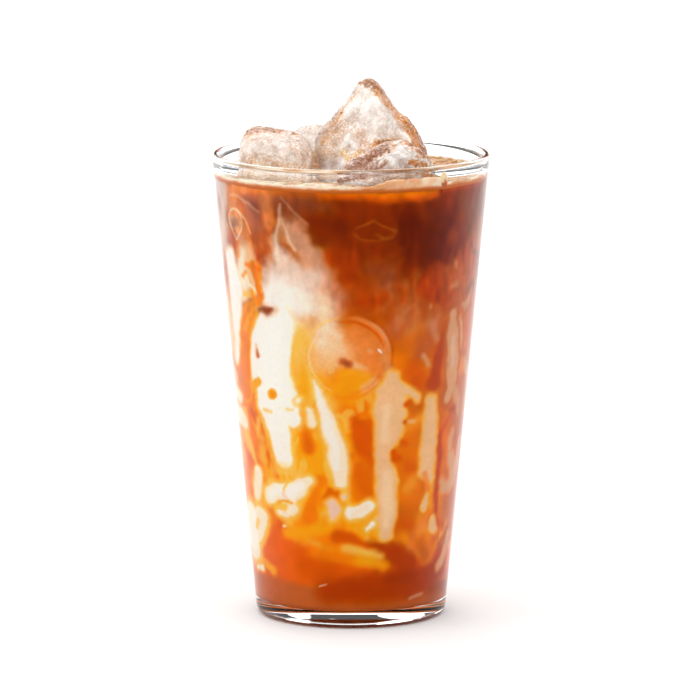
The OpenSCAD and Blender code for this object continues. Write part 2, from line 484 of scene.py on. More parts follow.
@dataclass(frozen=True)
class Marbling:
    """The streaks and drips of the drink, laid on in the order that stains() gives.

    A vein is a tone with the two levels of a noise between which it sets in. The gain makes up for the
    light that the glass takes. Values that end in _mm are the sizes of a noise's clouds.
    """

    seed: int = 7
    gain: float = 1.03
    wave_mm: float = 14.0
    twist_mm: float = 9.0
    vein_mm: Triple = (6.0, 6.0, 11.0)
    vein_share: float = 0.7
    sway_mm: Pair = (5.5, 1.9)
    fine_sway: float = 0.35
    streak_mm: Triple = (1.8, 1.8, 6.0)
    streak_share: float = 0.16
    mottle_mm: float = 2.6
    mottle_share: Pair = (0.05, 0.04)
    coffee_from: Pair = (92.0, 110.0)
    veins: tuple[tuple[Tone, float, float], ...] = (
        (Tone.ORANGE, 0.02, 0.18), (Tone.BURNT, 0.2, 0.36), (Tone.HONEY, -0.2, -0.36))
    bands: tuple[Band, ...] = (
        Band(Tone.AMBER, -10, 200, 1), Band(Tone.SIENNA, -10, 11, 2), Band(Tone.CORAL, 11, 22, 4),
        Band(Tone.ORANGE, 66, 92, 8), Band(Tone.TOFFEE, 84, 104, 8), Band(Tone.SIENNA, 102, 114, 8),
        Band(Tone.RUST, 112, 126, 8), Band(Tone.MAROON, 126, 160, 8))

    def foot(self) -> list[Stain]:
        """Return the caramel that lies on the floor and the pools just above it."""
        t = Tone
        return (
            lay(t.SIENNA, ((-90, 12, 3), (-10, 11, 3)), edge=3)
            + lay(t.CORAL, ((-60, 20, 4), (-46, 25, 7), (-32, 21, 7)), ((-46, 32, 3),), edge=2.5, ragged=1.5)
            + lay(t.BURNT, ((-24, 20, 5), (-12, 20, 4)), edge=3, ragged=1.5)
            + lay(t.RUST, ((-14, 12, 4), (10, 13, 5), (40, 14, 6), (66, 17, 5)), edge=3.5)
            + lay(t.RUST, ((12, 27.5, 1.3), (24, 25, 3.5), (34, 22, 4.5)), edge=2.5, ragged=1)
            + lay(t.MAROON, ((24, 16, 1.5), (40, 16, 2)), ((60, 10, 2), (86, 11, 3)), edge=3.5, share=0.5)
            + lay(t.ORANGE, ((-28, 33, 3), (-8, 30, 4)), ((-22, 24.5, 1.5), (-4, 24, 2)), edge=3, ragged=1.5)
            + lay(t.AMBER, ((-40, 30, 1.5), (-28, 31, 2.5), (-14, 34, 3)), edge=2)
            + lay(t.SALMON, ((40, 30, 2.6), (46, 33.5, 2.6), (57, 30, 2.4)), ((38, 26, 1.8), (44, 24, 1.4)),
                  edge=1.8, share=0.7)
            + lay(t.ORANGE, ((46, 27, 2.6), (52, 22, 3)), edge=2)
            + lay(t.TOFFEE, ((44, 26, 1.6), (49, 22, 2.2)), edge=2, share=0.9)
            + lay(t.HONEY, ((-3, 26.6, 1.6), (8, 25.2, 1.5), (18, 23.6, 1.2)), edge=1.6, share=0.9)
            + lay(t.AMBER, ((6, 22, 1.6), (20, 20.4, 1.5)), edge=2, share=0.9)
            + lay(t.BURNT, ((-7, 30.5, 2.2), (0, 30, 1.8), (10, 27, 0.8)), edge=1.4)
            + lay(t.AMBER, ((-78, 19.6, 0.6), (-66, 19.4, 1.2), (-54, 16.6, 1.6)), edge=1.2)
            + pour(t.IVORY, ((-73.5, 16.4, 0.9), (-65.5, 16.8, 1)), spread=0.7, halo=t.AMBER)
            + lay(t.BLUSH, ((40, 8.8, 0.6), (49, 9.4, 0.5)), edge=0.7, share=0.8)
            + lay(t.IVORY, ((-19.6, 13.6, 0.2), (-15, 14.4, 0.15)), edge=0.4, ragged=0.2, share=0.9))

    def caramel(self) -> list[Stain]:
        """Return the darker and lighter runs of caramel in the lower two thirds."""
        t = Tone
        return (
            lay(t.ORANGE, ((-72, 51, 3), (-72, 41, 3)), ((-84, 46, 4), (-80, 40, 4)), edge=3, ragged=1.5)
            + lay(t.HONEY, ((-66, 58, 1.2), (-62, 50, 1)), ((-56, 66, 1.4), (-58, 60, 1)), edge=1.6,
                  share=0.8)
            + lay(t.BURNT, ((2, 68, 1.5), (6, 64, 3.4), (9, 57, 3.2), (8, 50, 2.5)), edge=1.6, ragged=1)
            + lay(t.ORANGE, ((3, 52, 4), (7, 45, 4)), edge=2.5)
            + lay(t.BURNT, ((3, 53, 2), (9, 45, 2.5)), edge=2.5, share=0.6)
            + lay(t.TOFFEE, ((36, 76, 6), (34, 48, 8), (30, 36, 6)), ((56, 74, 6), (66, 60, 6), (70, 36, 5)),
                  edge=5)
            + lay(t.ORANGE, ((34, 66, 4), (33, 44, 5)), ((58, 72, 2), (62, 54, 3)), edge=3.5, ragged=1.5,
                  share=0.7)
            + lay(t.BURNT, ((33, 53, 2), (37, 50, 1.6)), ((26, 34, 2), (36, 33, 2)), edge=2, share=0.7)
            + lay(t.HONEY, ((33, 45, 2), (37, 48, 2)), ((28, 64, 1), (40, 68, 2)), edge=2, share=0.4)
            # partly painted shade: a darker strip down the right edge, where the drink lies in shade, over
            # the caramel's own colour
            + lay(t.SIENNA, ((72, 74, 5), (78, 66, 6), (82, 40, 6), (82, 28, 5)), edge=4, ragged=1.5,
                  share=0.8)
            + lay(t.BURNT,
                  ((62, 66.5, 0.9), (56, 62.5, 1.5), (53, 60.5, 1.2), (55, 57, 2), (56, 50, 1.6),
                   (54.5, 42, 1.6), (57, 35, 1.2), (65, 30, 1)), edge=1.6, ragged=1)
            + lay(t.RUST, ((54, 62, 0.6), (55.5, 54, 0.9), (54.8, 42, 0.8), (57, 36, 0.5)), edge=1.2,
                  share=0.7)
            + lay(t.RUST, ((62, 69, 0.9), (70, 69.5, 1)), ((66, 24, 3), (72, 28, 2)), edge=1.4, share=0.7)
            + lay(t.ORANGE,
                  ((-66, 70, 1.2), (-64, 64, 1.6), (-60, 57.5, 2.2), (-58, 52, 1.6), (-56, 46, 1.2)),
                  edge=1.2)
            + lay(t.CORAL, ((-76, 56, 1.2), (-69, 52, 2.2), (-64, 49.5, 1.6)), edge=1.4, share=0.8)
            + lay(t.ORANGE, ((-24.5, 64, 1.6), (-23, 59.5, 2.6)),
                  ((-17, 48.5, 2), (-22, 42, 1.2), (-24, 36.5, 3)), ((-52, 37, 2), (-50, 34, 2)), edge=1.2)
            + lay(t.BURNT, ((-24, 63, 0.8), (-23, 59, 1.4)), edge=1.4, share=0.6)
            + lay(t.SIENNA, ((22, 99, 5), (36, 92, 6), (42, 98, 5)), edge=3.5, ragged=1.5)
            + lay(t.ORANGE, ((24, 88, 3), (34, 97, 2.4)), edge=3, ragged=1.5, share=0.5)
            + lay(t.RUST, ((52, 98, 0.6), (49, 90, 1.8), (46, 79, 3)), edge=1.8, ragged=1, share=0.9)
            + lay(t.BURNT, ((32, 84, 3), (36, 80, 3)), edge=2.5, share=0.8)
            + lay(t.BLUSH, ((42, 98, 1.6), (46, 93, 1.2)), edge=1.6, share=0.45)
            + lay(t.TAN, ((37.5, 88, 0.9), (41, 85, 1.1)), edge=0.9, share=0.75)
            + lay(t.PEACH, ((-22, 101, 2), (-18, 96, 3), (-16, 88, 2)), edge=4, share=0.7)
            + lay(t.HONEY, ((-25, 97, 2), (-25, 90, 3.4), (-20, 80, 3.4), (-10, 74, 2)), edge=4.5)
            + lay(t.AMBER, ((-20, 92, 2), (-14, 80, 3), (0, 76, 3)), ((12, 84, 2), (10, 78, 2)), edge=2.5,
                  share=0.8)
            + lay(t.TAN, ((16, 92, 1.5), (18, 84, 2.4)), edge=2, share=0.7))

    def coffee(self) -> list[Stain]:
        """Return the dark coffee in the upper third, the thin rim of orange under the foam, and a painted
        reflection at the right edge.
        """
        t = Tone
        wisps = [lay(t.TAN, ((a, low, w), (a + 1.5, (low + high) / 2, w), (a - 0.5, high, w * 0.4)),
                     edge=2.6, ragged=2.2, share=0.34)
                 for a, low, high, w in ((17, 104, 112, 1), (22, 98, 108, 1.4), (26, 101, 113, 1.4),
                                         (31, 96, 116, 1.5), (38, 98, 106, 1.2), (44, 94, 104, 1))]
        return (
            lay(t.RUST, ((4, 106, 4), (44, 108, 6)), edge=6, ragged=3)
            + lay(t.MAROON, ((6, 121, 4), (58, 122, 5)), edge=7, ragged=4)
            + lay(t.MAROON, ((0, 132, 9), (64, 134, 8)), edge=6, ragged=3)
            + lay(t.ESPRESSO, ((22, 137, 2), (30, 129, 5), (42, 125, 3)), ((28, 122, 1.5), (46, 120, 1.5)),
                  edge=8, ragged=4.5, share=0.9)
            + lay(t.ESPRESSO, ((-14, 131, 1.5), (-4, 131, 2)), ((42, 133, 3), (50, 131, 2)), edge=5, ragged=3,
                  share=0.55)
            + lay(t.COCOA, ((56, 138, 2), (66, 134, 5), (74, 126, 5)), ((8, 117, 2), (18, 115, 3)), edge=5,
                  ragged=3, share=0.75)
            + lay(t.SIENNA, ((56, 112, 6), (68, 106, 5), (72, 122, 4)), ((84, 104, 4), (84, 84, 4)), edge=5,
                  ragged=2, share=0.8)
            # painted reflection: pale haze at the right edge over the coffee, where the glass wall reflects
            # light
            + lay(t.TAN, ((80, 138, 3), (80, 122, 3)), edge=5, share=0.45)
            + lay(t.BARK, ((68, 121.6, 0.6), (72, 119, 1.4), (77, 118, 0.8)),
                  ((69, 106.6, 0.5), (73, 108.6, 1.2), (78, 108.6, 0.8), (82, 111, 0.4)),
                  ((76, 138, 2), (78, 132, 2)), edge=2, ragged=2.2, share=0.7)
            + sum(wisps, [])
            + lay(t.TAN, ((53.5, 109, 0.8), (57, 109.6, 1)), ((54.5, 116, 0.9),), ((40, 104, 0.5),), edge=1.2,
                  ragged=1.2, share=0.6)
            + lay(t.SIENNA,
                  ((2, 130.5, 0.25), (7, 131.8, 0.25), (10, 133, 0.25), (13, 131.5, 0.25), (20, 129, 0.25)),
                  ((11, 128.5, 0.2), (15, 126.5, 0.3), (19, 127.2, 0.3), (20.5, 129.5, 0.2)), edge=0.6,
                  ragged=0.3, share=0.7)
            + lay(t.SIENNA, ((-48, 140, 2.4), (-30, 140.5, 2), (-14, 141, 1.4)), edge=1.8, share=0.8)
            + lay(t.BURNT,
                  ((-60, 140.6, 1.4), (-30, 140.6, 0.8), (0, 140.6, 1), (20, 140, 1.7), (33, 139.6, 1.6),
                   (40, 139.4, 0.6)), edge=1.7, ragged=1)
            + lay(t.ORANGE,
                  ((-60, 141, 1.4), (-48, 141, 1.2), (-30, 141.6, 0.6), (0, 141.6, 0.6), (20, 141, 1),
                   (33, 140.8, 0.9), (40, 140.8, 0.3)), edge=1.1, ragged=0.8, share=0.8)
            + lay(t.RUST, ((44, 140.8, 0.9), (58, 141.2, 0.8), (76, 141.2, 0.8)), edge=1, share=0.9))

    def plume(self) -> list[Stain]:
        """Return the milk that rises into the coffee on the left, the thin coffee over it, and a painted
        reflection at the left edge.
        """
        t = Tone
        veils = [lay(t.IVORY, ((a, low, 0.3), (a + 2, (low + high) / 2, 0.9), (a + 1, high, 0.2)),
                     edge=1.8, ragged=2, share=0.4)
                 for a, low, high in ((-37, 112, 124), (-33, 108, 122), (-28, 106, 120), (-24, 104, 114),
                                      (-19, 106, 115), (-15, 104, 112))]
        return (
            # painted reflection: the next two strokes lay pale haze down the left edge, where the glass wall
            # reflects white light
            lay(t.REFLECTED_HAZE, ((-94, 142, 7), (-90, 130, 7), (-88, 118, 5)), edge=5, share=0.8)
            + lay(t.BLUSH, ((-72, 138, 3), (-74, 126, 4)), edge=5, share=0.8)
            + lay(t.REFLECTED_HAZE, ((-80, 142, 6), (-72, 140, 4.6), (-73, 132, 2.6), (-77, 122, 3)), edge=3,
                  ragged=1.5, share=0.7)
            + lay(t.SALMON, ((-60, 138, 5), (-56, 128, 5), (-54, 118, 4)), edge=3, ragged=2, share=0.9)
            + lay(t.SIENNA, ((-54, 137, 2), (-47, 131, 3), (-43, 124, 3)), ((-40, 138, 3), (-38, 126, 2)),
                  edge=2.5, ragged=2, share=0.8)
            + lay(t.BLUSH, ((-58, 124, 2), (-52, 120, 3)), ((-62, 134, 1), (-60, 126, 1.4)), edge=2,
                  ragged=2.2, share=0.7)
            + lay(t.COCOA, ((-32, 139, 2.6), (-24, 137, 3.6), (-12, 137, 2)), edge=4, ragged=2.5, share=0.8)
            + lay(t.TAN, ((-30, 132, 2), (-24, 126, 3.6), (-16, 116, 4)), edge=4, ragged=2.5, share=0.9)
            + lay(t.BLUSH, ((-26, 130, 2), (-20, 122, 2.4), (-12, 112, 2.4)), edge=3.5, ragged=2.5, share=0.8)
            + lay(t.PEACH, ((-56, 119, 4), (-52, 112, 5)), edge=2.5)
            + lay(t.IVORY, ((-58, 120, 1.6), (-60, 112, 3), (-60, 107, 3)), edge=2)
            + lay(t.ROSE, ((-34, 127, 0.7), (-34, 121, 2.4), (-29, 117, 3), (-20, 114, 3)), edge=3, ragged=2)
            + lay(t.IVORY, ((-31.5, 137, 0.2), (-33, 131, 0.4), (-34.5, 124, 0.6), (-35, 117, 0.9)),
                  ((-31.5, 133, 0.1), (-29.5, 129, 0.3), (-26, 123, 0.4)), edge=0.9, ragged=0.9, share=0.7)
            + lay(t.ROSE, ((-38, 116, 3), (-20, 110, 4.5), (-14, 105, 3)), edge=3.5, ragged=2)
            + lay(t.PEACH, ((-14, 106, 2.5), (-12, 101, 3)), edge=4, ragged=1.5, share=0.8)
            + lay(t.BLUSH, ((-7, 108, 1.5), (-7, 101, 1.5)), edge=4, ragged=2, share=0.8)
            + sum(veils, [])
            + lay(t.CREAM, ((-44, 111, 3), (-36, 111.5, 3.4), (-28, 108, 4), (-20, 105, 3)), edge=5,
                  ragged=2.5, share=0.95)
            + lay(t.IVORY, ((-22, 108, 2), (-14, 104, 3), (-10, 100, 2)), edge=5, ragged=2.5, share=0.6)
            + lay(t.PEACH, ((-86, 102, 5), (-82, 90, 5)), ((-84, 78, 4), (-78, 77, 2)), edge=2.5)
            + lay(t.SALMON, ((-88, 104, 1.6), (-80, 106, 1), (-76, 100, 0.8)), edge=1.6, share=0.6))

    def cream(self) -> list[Stain]:
        """Return the big sheet of milk on the left and the caramel ribbon beside it."""
        t = Tone
        return (
            pour(t.CREAM,
                 ((-70, 117, 3.4), (-68, 108, 4.2), (-69.5, 98, 3.4), (-70, 90, 2.2), (-74, 84.5, 1.4)),
                 halo=t.IVORY, spread=1.4)
            + lay(t.CREAM, ((-37, 109, 3.4), (-31, 105, 5), (-28, 100, 4)), edge=5.5, ragged=2.5)
            + pour(t.CREAM, ((-39, 97, 7.4), (-44, 89, 8.6), (-46, 83, 9)), ((-42, 78, 6),),
                   ((-46, 74.5, 5.4), (-47, 71.5, 4.4)), ((-42, 66.5, 4.6), (-40, 60, 4.2), (-38.5, 54, 2.8)),
                   ((-35, 80, 3), (-33, 71, 3.6), (-31, 68, 2.4)), spread=1.6)
            + lay(t.CREAM, ((-39, 105, 5), (-34, 99, 5)), edge=2.6)
            + lay(t.HONEY, ((-24, 96, 1.6), (-25, 88, 2.2), (-26, 80, 2)), edge=3.4, share=0.85)
            + lay(t.AMBER, ((-22, 88, 1), (-24, 80, 2), (-25, 76, 1.4)), edge=2.6, share=0.9)
            + lay(t.AMBER, ((-60, 75.6, 1.4), (-56, 77.8, 1.4), (-52.5, 79, 0.9)), edge=0.6)
            + lay(t.HONEY, ((-50, 69.6, 0.5), (-45, 69.4, 0.4)), ((-35, 71, 0.3), (-31, 71.2, 0.3)), edge=0.7,
                  share=0.8)
            + lay(t.AMBER, ((-43.8, 75.3, 1.9),), edge=0.5, ragged=0.4)
            + lay(t.ORANGE, ((-43.4, 75.2, 1),), ragged=0.3, share=0.6)
            + lay(t.TAN, ((-52.6, 90.6, 0.3), (-52, 87.4, 1.1)), edge=0.9, ragged=0.4, share=0.7)
            + lay(t.SIENNA, ((-52.2, 89, 0.2), (-51.8, 87, 0.7)), edge=0.6, ragged=0.3)
            + pour(t.ORANGE,
                   ((-50, 103.6, 1.3), (-56, 101, 1.8), (-60, 96, 2.4), (-63.5, 88, 2.6), (-65.5, 81, 3),
                    (-66, 74, 2.6)), halo=t.AMBER, spread=1, edge=0.9)
            + lay(t.AMBER, ((-51, 103, 0.8), (-56.5, 100, 1.1), (-60.5, 95, 1.2)), edge=1.2, share=0.8)
            + lay(t.ORANGE, ((-70, 80, 3), (-72, 75, 4)), edge=1.8, share=0.8)
            + lay(t.SALMON, ((-63, 88, 1.2), (-65, 80, 1.8), (-65, 73, 1.8)), edge=1.8, share=0.2)
            + lay(t.HONEY, ((-59, 106.8, 1), (-53, 107, 1), (-49, 109, 0.8)), edge=1, share=0.9)
            + lay(t.ORANGE, ((-55, 116.4, 0.8), (-50, 116, 1.9), (-46.5, 114.6, 1.7)),
                  ((-50, 114, 1), (-47.6, 110.8, 1.3), (-46.6, 107, 1.1), (-47, 104, 1.3)),
                  ((-56, 112, 0.4), (-53, 108, 0.6), (-50, 105.6, 0.5)),
                  ((-59, 112.2, 0.5), (-56.5, 113.8, 0.5)), edge=1.1, ragged=1.4)
            + lay(t.BURNT, ((-49, 115.6, 0.5), (-47, 114.8, 0.5)), ((-49, 110, 0.5), (-46.8, 107.4, 0.4)),
                  edge=1, ragged=1.2, share=0.5)
            + lay(t.IVORY, ((-56, 112, 0.9), (-55, 109.8, 0.9), (-50.5, 108.6, 0.5)), edge=1)
            + lay(t.TAN, ((-50, 102.4, 1), (-44, 102.6, 1.8), (-38, 102.8, 0.8)), edge=2, ragged=1, share=0.7)
            + lay(t.COCOA, ((-48.5, 102.2, 0.6), (-43.6, 102.3, 1.1), (-40.5, 102.8, 0.6)), edge=1.1,
                  ragged=0.9)
            + lay(t.MAROON, ((-45, 102, 0.5), (-41.4, 102.5, 0.5)), edge=0.9, share=0.6)
            + pour(t.IVORY,
                   ((-98, 56, 1.6), (-95, 63, 2.6), (-86, 66.4, 3), (-78, 65.4, 3), (-71.5, 63.6, 2)),
                   ((-96, 84, 1.2), (-93, 77, 2.2), (-84, 73, 2.4), (-76, 72, 2)), halo=t.PEACH, spread=1))

    def blots(self) -> list[Stain]:
        """Return the blots of milk low on the left."""
        t = Tone
        return (
            pour(t.IVORY, ((-60.5, 48.6, 2.2), (-62.8, 44, 2.2), (-64, 40.6, 1.4)), spread=0.8)
            + pour(t.IVORY, ((-75, 32, 5.6), (-77, 26, 5.2)), ((-70, 30, 5.4), (-63, 33.5, 3.8)),
                   ((-79, 20.5, 1.6), (-72, 22, 3)))
            + lay(t.CREAM, ((-74, 33, 3.5), (-76, 25, 3.6)), edge=1.4, share=0.6)
            + lay(t.HONEY, ((-66.6, 32, 1), (-68.4, 29.8, 1)), share=0.9)
            + pour(t.IVORY,
                   ((-52, 41.8, 2.4), (-46, 43.6, 2.8), (-36, 43, 3.4), (-28, 46.4, 2.4), (-24, 48, 1.4)),
                   ((-44, 37, 1.2), (-39, 36, 1.2), (-34, 38.4, 1.8)), spread=1.4)
            + lay(t.CREAM, ((-50, 42, 1.4), (-45, 44, 1.8), (-36, 43.4, 2.2), (-29, 46, 1.4)), edge=1.4)
            + lay(t.HONEY, ((-38, 49.4, 0.4), (-37.5, 47, 0.4), (-40, 44.6, 0.4), (-39.6, 43.6, 0.3)),
                  edge=0.6)
            + lay(t.AMBER, ((-43.6, 40.2, 0.5), (-41, 40.8, 0.3), (-38, 40.6, 0.5), (-34.6, 40.2, 0.3)),
                  edge=0.5)
            + lay(t.ROSE, ((-40.4, 43, 0.7), (-39, 41.8, 0.6)), share=0.7)
            + lay(t.HONEY, ((-42, 32.2, 0.4), (-40, 32.4, 0.4)), edge=0.6)
            + lay(t.CREAM, ((-41.8, 32, 0.3), (-40.6, 32.2, 0.2)), edge=0.4)
            + lay(t.HONEY, ((-46, 50.5, 2), (-34, 51, 1.6)), ((-54, 60, 1.2), (-55, 54, 1.6)), edge=2,
                  share=0.6))

    def drips(self) -> list[Stain]:
        """Return the drips of milk in the middle and on the right."""
        t = Tone
        return (
            pour(t.IVORY,
                 ((-18.2, 80, 0.6), (-15.4, 74, 1.8), (-11, 66.5, 2.7), (-7.6, 58, 2.9), (-6, 52, 2.5),
                  (-5.4, 48.6, 2.3)), spread=1.2)
            + lay(t.CREAM,
                  ((-18.4, 78.6, 0.5), (-15.6, 73.4, 1.2), (-12, 67, 1.6), (-8.6, 59, 1.4), (-8, 53, 1)),
                  share=0.85)
            + pour(t.IVORY, ((-22, 71, 1), (-20.8, 67.6, 1.5)), ((-28, 74, 1),), spread=0.9)
            + pour(t.ROSE, ((-10.8, 41, 1.5), (-9.4, 39.2, 1.7), (-10.6, 36.4, 0.6)), ((-3, 43.6, 0.9),),
                   spread=1.1)
            + pour(t.CREAM, ((0.5, 38, 1.9), (5, 38.2, 2.2), (10, 40, 1.7)),
                   ((9.4, 32.4, 0.5), (13, 34, 0.8)), spread=1.1)
            + lay(t.VANILLA, ((2, 37.4, 1.2), (9, 39.6, 1.2)), edge=1.4, share=0.5)
            + pour(t.OAT,
                   ((21.4, 82, 2), (20.6, 77, 4.2), (20.4, 70.5, 4.8), (20.2, 65, 4.2), (17.8, 60.6, 3),
                    (17, 57, 2.2), (18.8, 51, 2.9), (19.8, 46, 3.2), (20.6, 40, 2.7), (21, 35.6, 2.4),
                    (20.2, 30.6, 1.7)), ((24, 79, 1.6), (30, 77, 1.2), (36, 74.8, 0.9)), ((27.4, 70, 1.3),),
                   ((22, 49.6, 1.4), (24, 48.4, 1.2)), ((15.6, 35.8, 0.6), (18, 35, 0.8)), spread=1)
            + lay(t.VANILLA, ((18.4, 72, 1.4), (18, 62, 1.2)),
                  ((19.6, 50, 1.6), (20.6, 42, 1.8), (20.8, 34, 1.2)), edge=1.8, share=0.7)
            + lay(t.BURNT, ((29.4, 73, 1), (31.6, 73.6, 0.7)), ((28.8, 67, 0.7), (30, 67.4, 0.5)), edge=0.9)
            + lay(t.BURNT, ((28, 60.8, 1), (30, 60.4, 0.9)), edge=0.9)
            + lay(t.BURNT, ((23.6, 57.4, 0.9), (24.6, 55, 1.1), (27, 55.8, 0.9)), edge=0.9)
            + lay(t.OAT, ((31.6, 67.2, 0.8), (34, 67, 0.9)), edge=0.9, share=0.7)
            + pour(t.OAT,
                   ((44.8, 73, 1.6), (45.8, 67, 2.3), (45.8, 60, 2.6), (45.6, 54.6, 3.1), (46, 50.6, 2.8),
                    (49, 47.4, 1.2)), spread=1)
            + lay(t.SALMON, ((45, 49, 1), (46.6, 45.4, 1), (46.4, 42, 0.5)), edge=1, share=0.8)
            + pour(t.OAT, ((46.6, 41.6, 0.6), (45, 38.4, 1.3)), ((54.6, 34, 1.2), (55.2, 31, 1.6)),
                   spread=0.6)
            + pour(t.TAN, ((56, 100.5, 1.4), (57.5, 94, 2.4), (60, 86, 3.2), (60.5, 78, 3), (58, 73, 1.6)),
                   halo=t.SIENNA, edge=1, ragged=1.2)
            + lay(t.TAN, ((63, 98, 0.9), (67, 91, 0.9), (68, 88, 0.5)),
                  ((64, 103, 0.6), (68, 101.6, 1.5), (72, 103.4, 1.2), (74, 107, 0.5)), edge=1, ragged=1.4,
                  share=0.8)
            + lay(t.ROSE, ((58.5, 92, 0.8), (60, 84, 0.9)), ((64.5, 96.5, 0.5), (67, 91, 0.5)), edge=1.2,
                  share=0.6)
            + lay(t.TAN, ((61, 77, 0.8), (65, 75, 2), (70, 71.6, 1.8), (72, 67, 1)),
                  ((74, 84.6, 0.6), (78, 81, 2), (83, 78.6, 2.4), (85, 72, 1.6), (84, 66, 0.8)), edge=1.2,
                  ragged=1.4, share=0.8)
            + pour(t.TAN, ((68.6, 53, 1.4), (70.4, 50, 2.2), (71, 47, 1.5)),
                   ((59.6, 46, 1.4), (61, 43.6, 1.8), (68, 43.4, 2), (74, 45, 1.8), (78, 50, 1.4),
                    (79, 57, 0.8)), ((66, 51, 0.8), (65, 58, 1), (67, 62, 0.6)),
                   ((64, 17.4, 1), (69, 19.4, 1.4), (73.6, 24, 1.4), (75, 27.4, 0.9)), halo=t.SALMON,
                   spread=0.9, edge=0.8))

    def sunk_ice(self) -> list[Stain]:
        """Return the marks of the ice that lies under the surface against the wall, with a painted highlight
        on the ring.
        """
        t = Tone
        hoops = [lay(tone, hoop(-2.0, 88.6, radius, start, end, half), edge=edge, ragged=ragged, share=share)
                 for tone, radius, start, end, half, edge, ragged, share in (
                     (t.SALMON, 13, 4, 96, 1.1, 1, 0.4, 0.9), (t.TAN, 13.5, 30, 80, 0.4, 0.6, 0.3, 0.8),
                     (t.BURNT, 11.8, -8, 74, 0.42, 0.5, 0.3, 1), (t.RUST, 14.3, 20, 100, 0.3, 0.7, 0.3, 0.7),
                     (t.HONEY, 13.2, 196, 350, 0.5, 0.9, 0.4, 0.6),
                     (t.IVORY, 11.8, 205, 330, 0.25, 0.6, 0.3, 0.55),
                     (t.ORANGE, 13, 120, 200, 0.5, 0.9, 0.4, 0.7),
                     (t.CORAL, 11.6, 100, 175, 0.3, 0.7, 0.3, 0.6))]
        return (
            lay(t.PEACH, ((-14, 88, 5), (-4, 91, 6)), edge=5, share=0.85)
            + lay(t.SALMON, ((0, 90, 3), (8, 88, 4)), edge=5, share=0.7)
            + lay(t.VANILLA, ((-10, 92, 2.6), (-3, 91, 2)), edge=4, ragged=1.5, share=0.7)
            + lay(t.IVORY, ((-15, 94, 2.6), (-10, 97.5, 3), (-5, 96, 1.6)), edge=3.4, ragged=1.5, share=0.85)
            + lay(t.AMBER, ((-1, 81, 4.6), (5, 80, 4)), edge=2.6, share=0.9)
            + lay(t.SALMON, ((4, 96, 4), (11, 92, 3)), edge=3.5, share=0.9)
            + lay(t.IVORY, ((2, 86.5, 0.9), (7, 85.5, 0.7)), ((9, 91, 0.5),), edge=1.2, share=0.6)
            + lay(t.SALMON, ((8, 88, 2.6), (13, 84, 2.4)), ((12, 79, 1.6),), edge=2.4, share=0.8)
            + lay(t.PEACH, ((8, 78.5, 1.8), (12, 80.5, 1.6)), edge=1.6, share=0.8)
            + sum(hoops, [])
            + lay(t.SIENNA, ((-3.6, 87.6, 1.2), (-1.2, 86.6, 1.4)), edge=1.1, ragged=0.7)
            + lay(t.COCOA, ((-2.8, 87.2, 0.6), (-1.6, 86.8, 0.6)), share=0.7)
            # painted highlight: a small white glint at the right of the ring
            + lay(t.CREAM, ((13.6, 91.2, 0.35), (14.6, 90.4, 0.3)), edge=0.35, ragged=0.1)
            + lay(t.TAN, ((-64, 129.4, 2.6), (-58, 130, 2.2)), edge=1.4, share=0.7)
            + lay(t.BARK, ((-64, 128.6, 1), (-60, 129.6, 1.3)), edge=1.2, ragged=0.9, share=0.7)
            + lay(t.IVORY, hoop(-61, 130.2, 3.5, -115, 125, 0.4),
                  ((-66.4, 128.6, 0.25), (-64, 125.8, 0.35), (-61.5, 124, 0.3)),
                  ((-56.4, 128, 0.25), (-59, 125.6, 0.3), (-61.5, 124, 0.3)),
                  ((-58, 133.4, 0.2), (-53, 131, 0.3), (-50, 126.6, 0.2)), edge=0.6, ragged=0.4, share=0.7)
            + lay(t.SALMON, ((-66, 131.6, 0.5), (-60, 132.4, 0.7), (-55, 130.4, 0.4)), edge=0.9, share=0.7)
            + lay(t.ORANGE, ((-62.5, 123.5, 0.4), (-61.5, 118.5, 0.4)), edge=0.7, share=0.8)
            + lay(t.IVORY, ((-64, 137.6, 0.3), (-57, 138.4, 0.3), (-50, 136.6, 0.35), (-44, 134, 0.3)),
                  edge=0.9, ragged=0.7, share=0.5)
            + lay(t.SALMON, ((-39, 139, 2.6), (-38, 131, 2.4)), edge=1.6, ragged=0.8, share=0.55)
            + lay(t.IVORY, ((-31, 139.6, 0.2), (-25, 134.6, 0.3), (-19, 131, 0.2)), edge=0.7, ragged=0.5,
                  share=0.35)
            + lay(t.SIENNA,
                  ((1, 129, 0.2), (5, 126.6, 0.25), (12, 126, 0.2), (18, 128, 0.2), (20, 131.5, 0.2)),
                  edge=0.5, ragged=0.3, share=0.6))

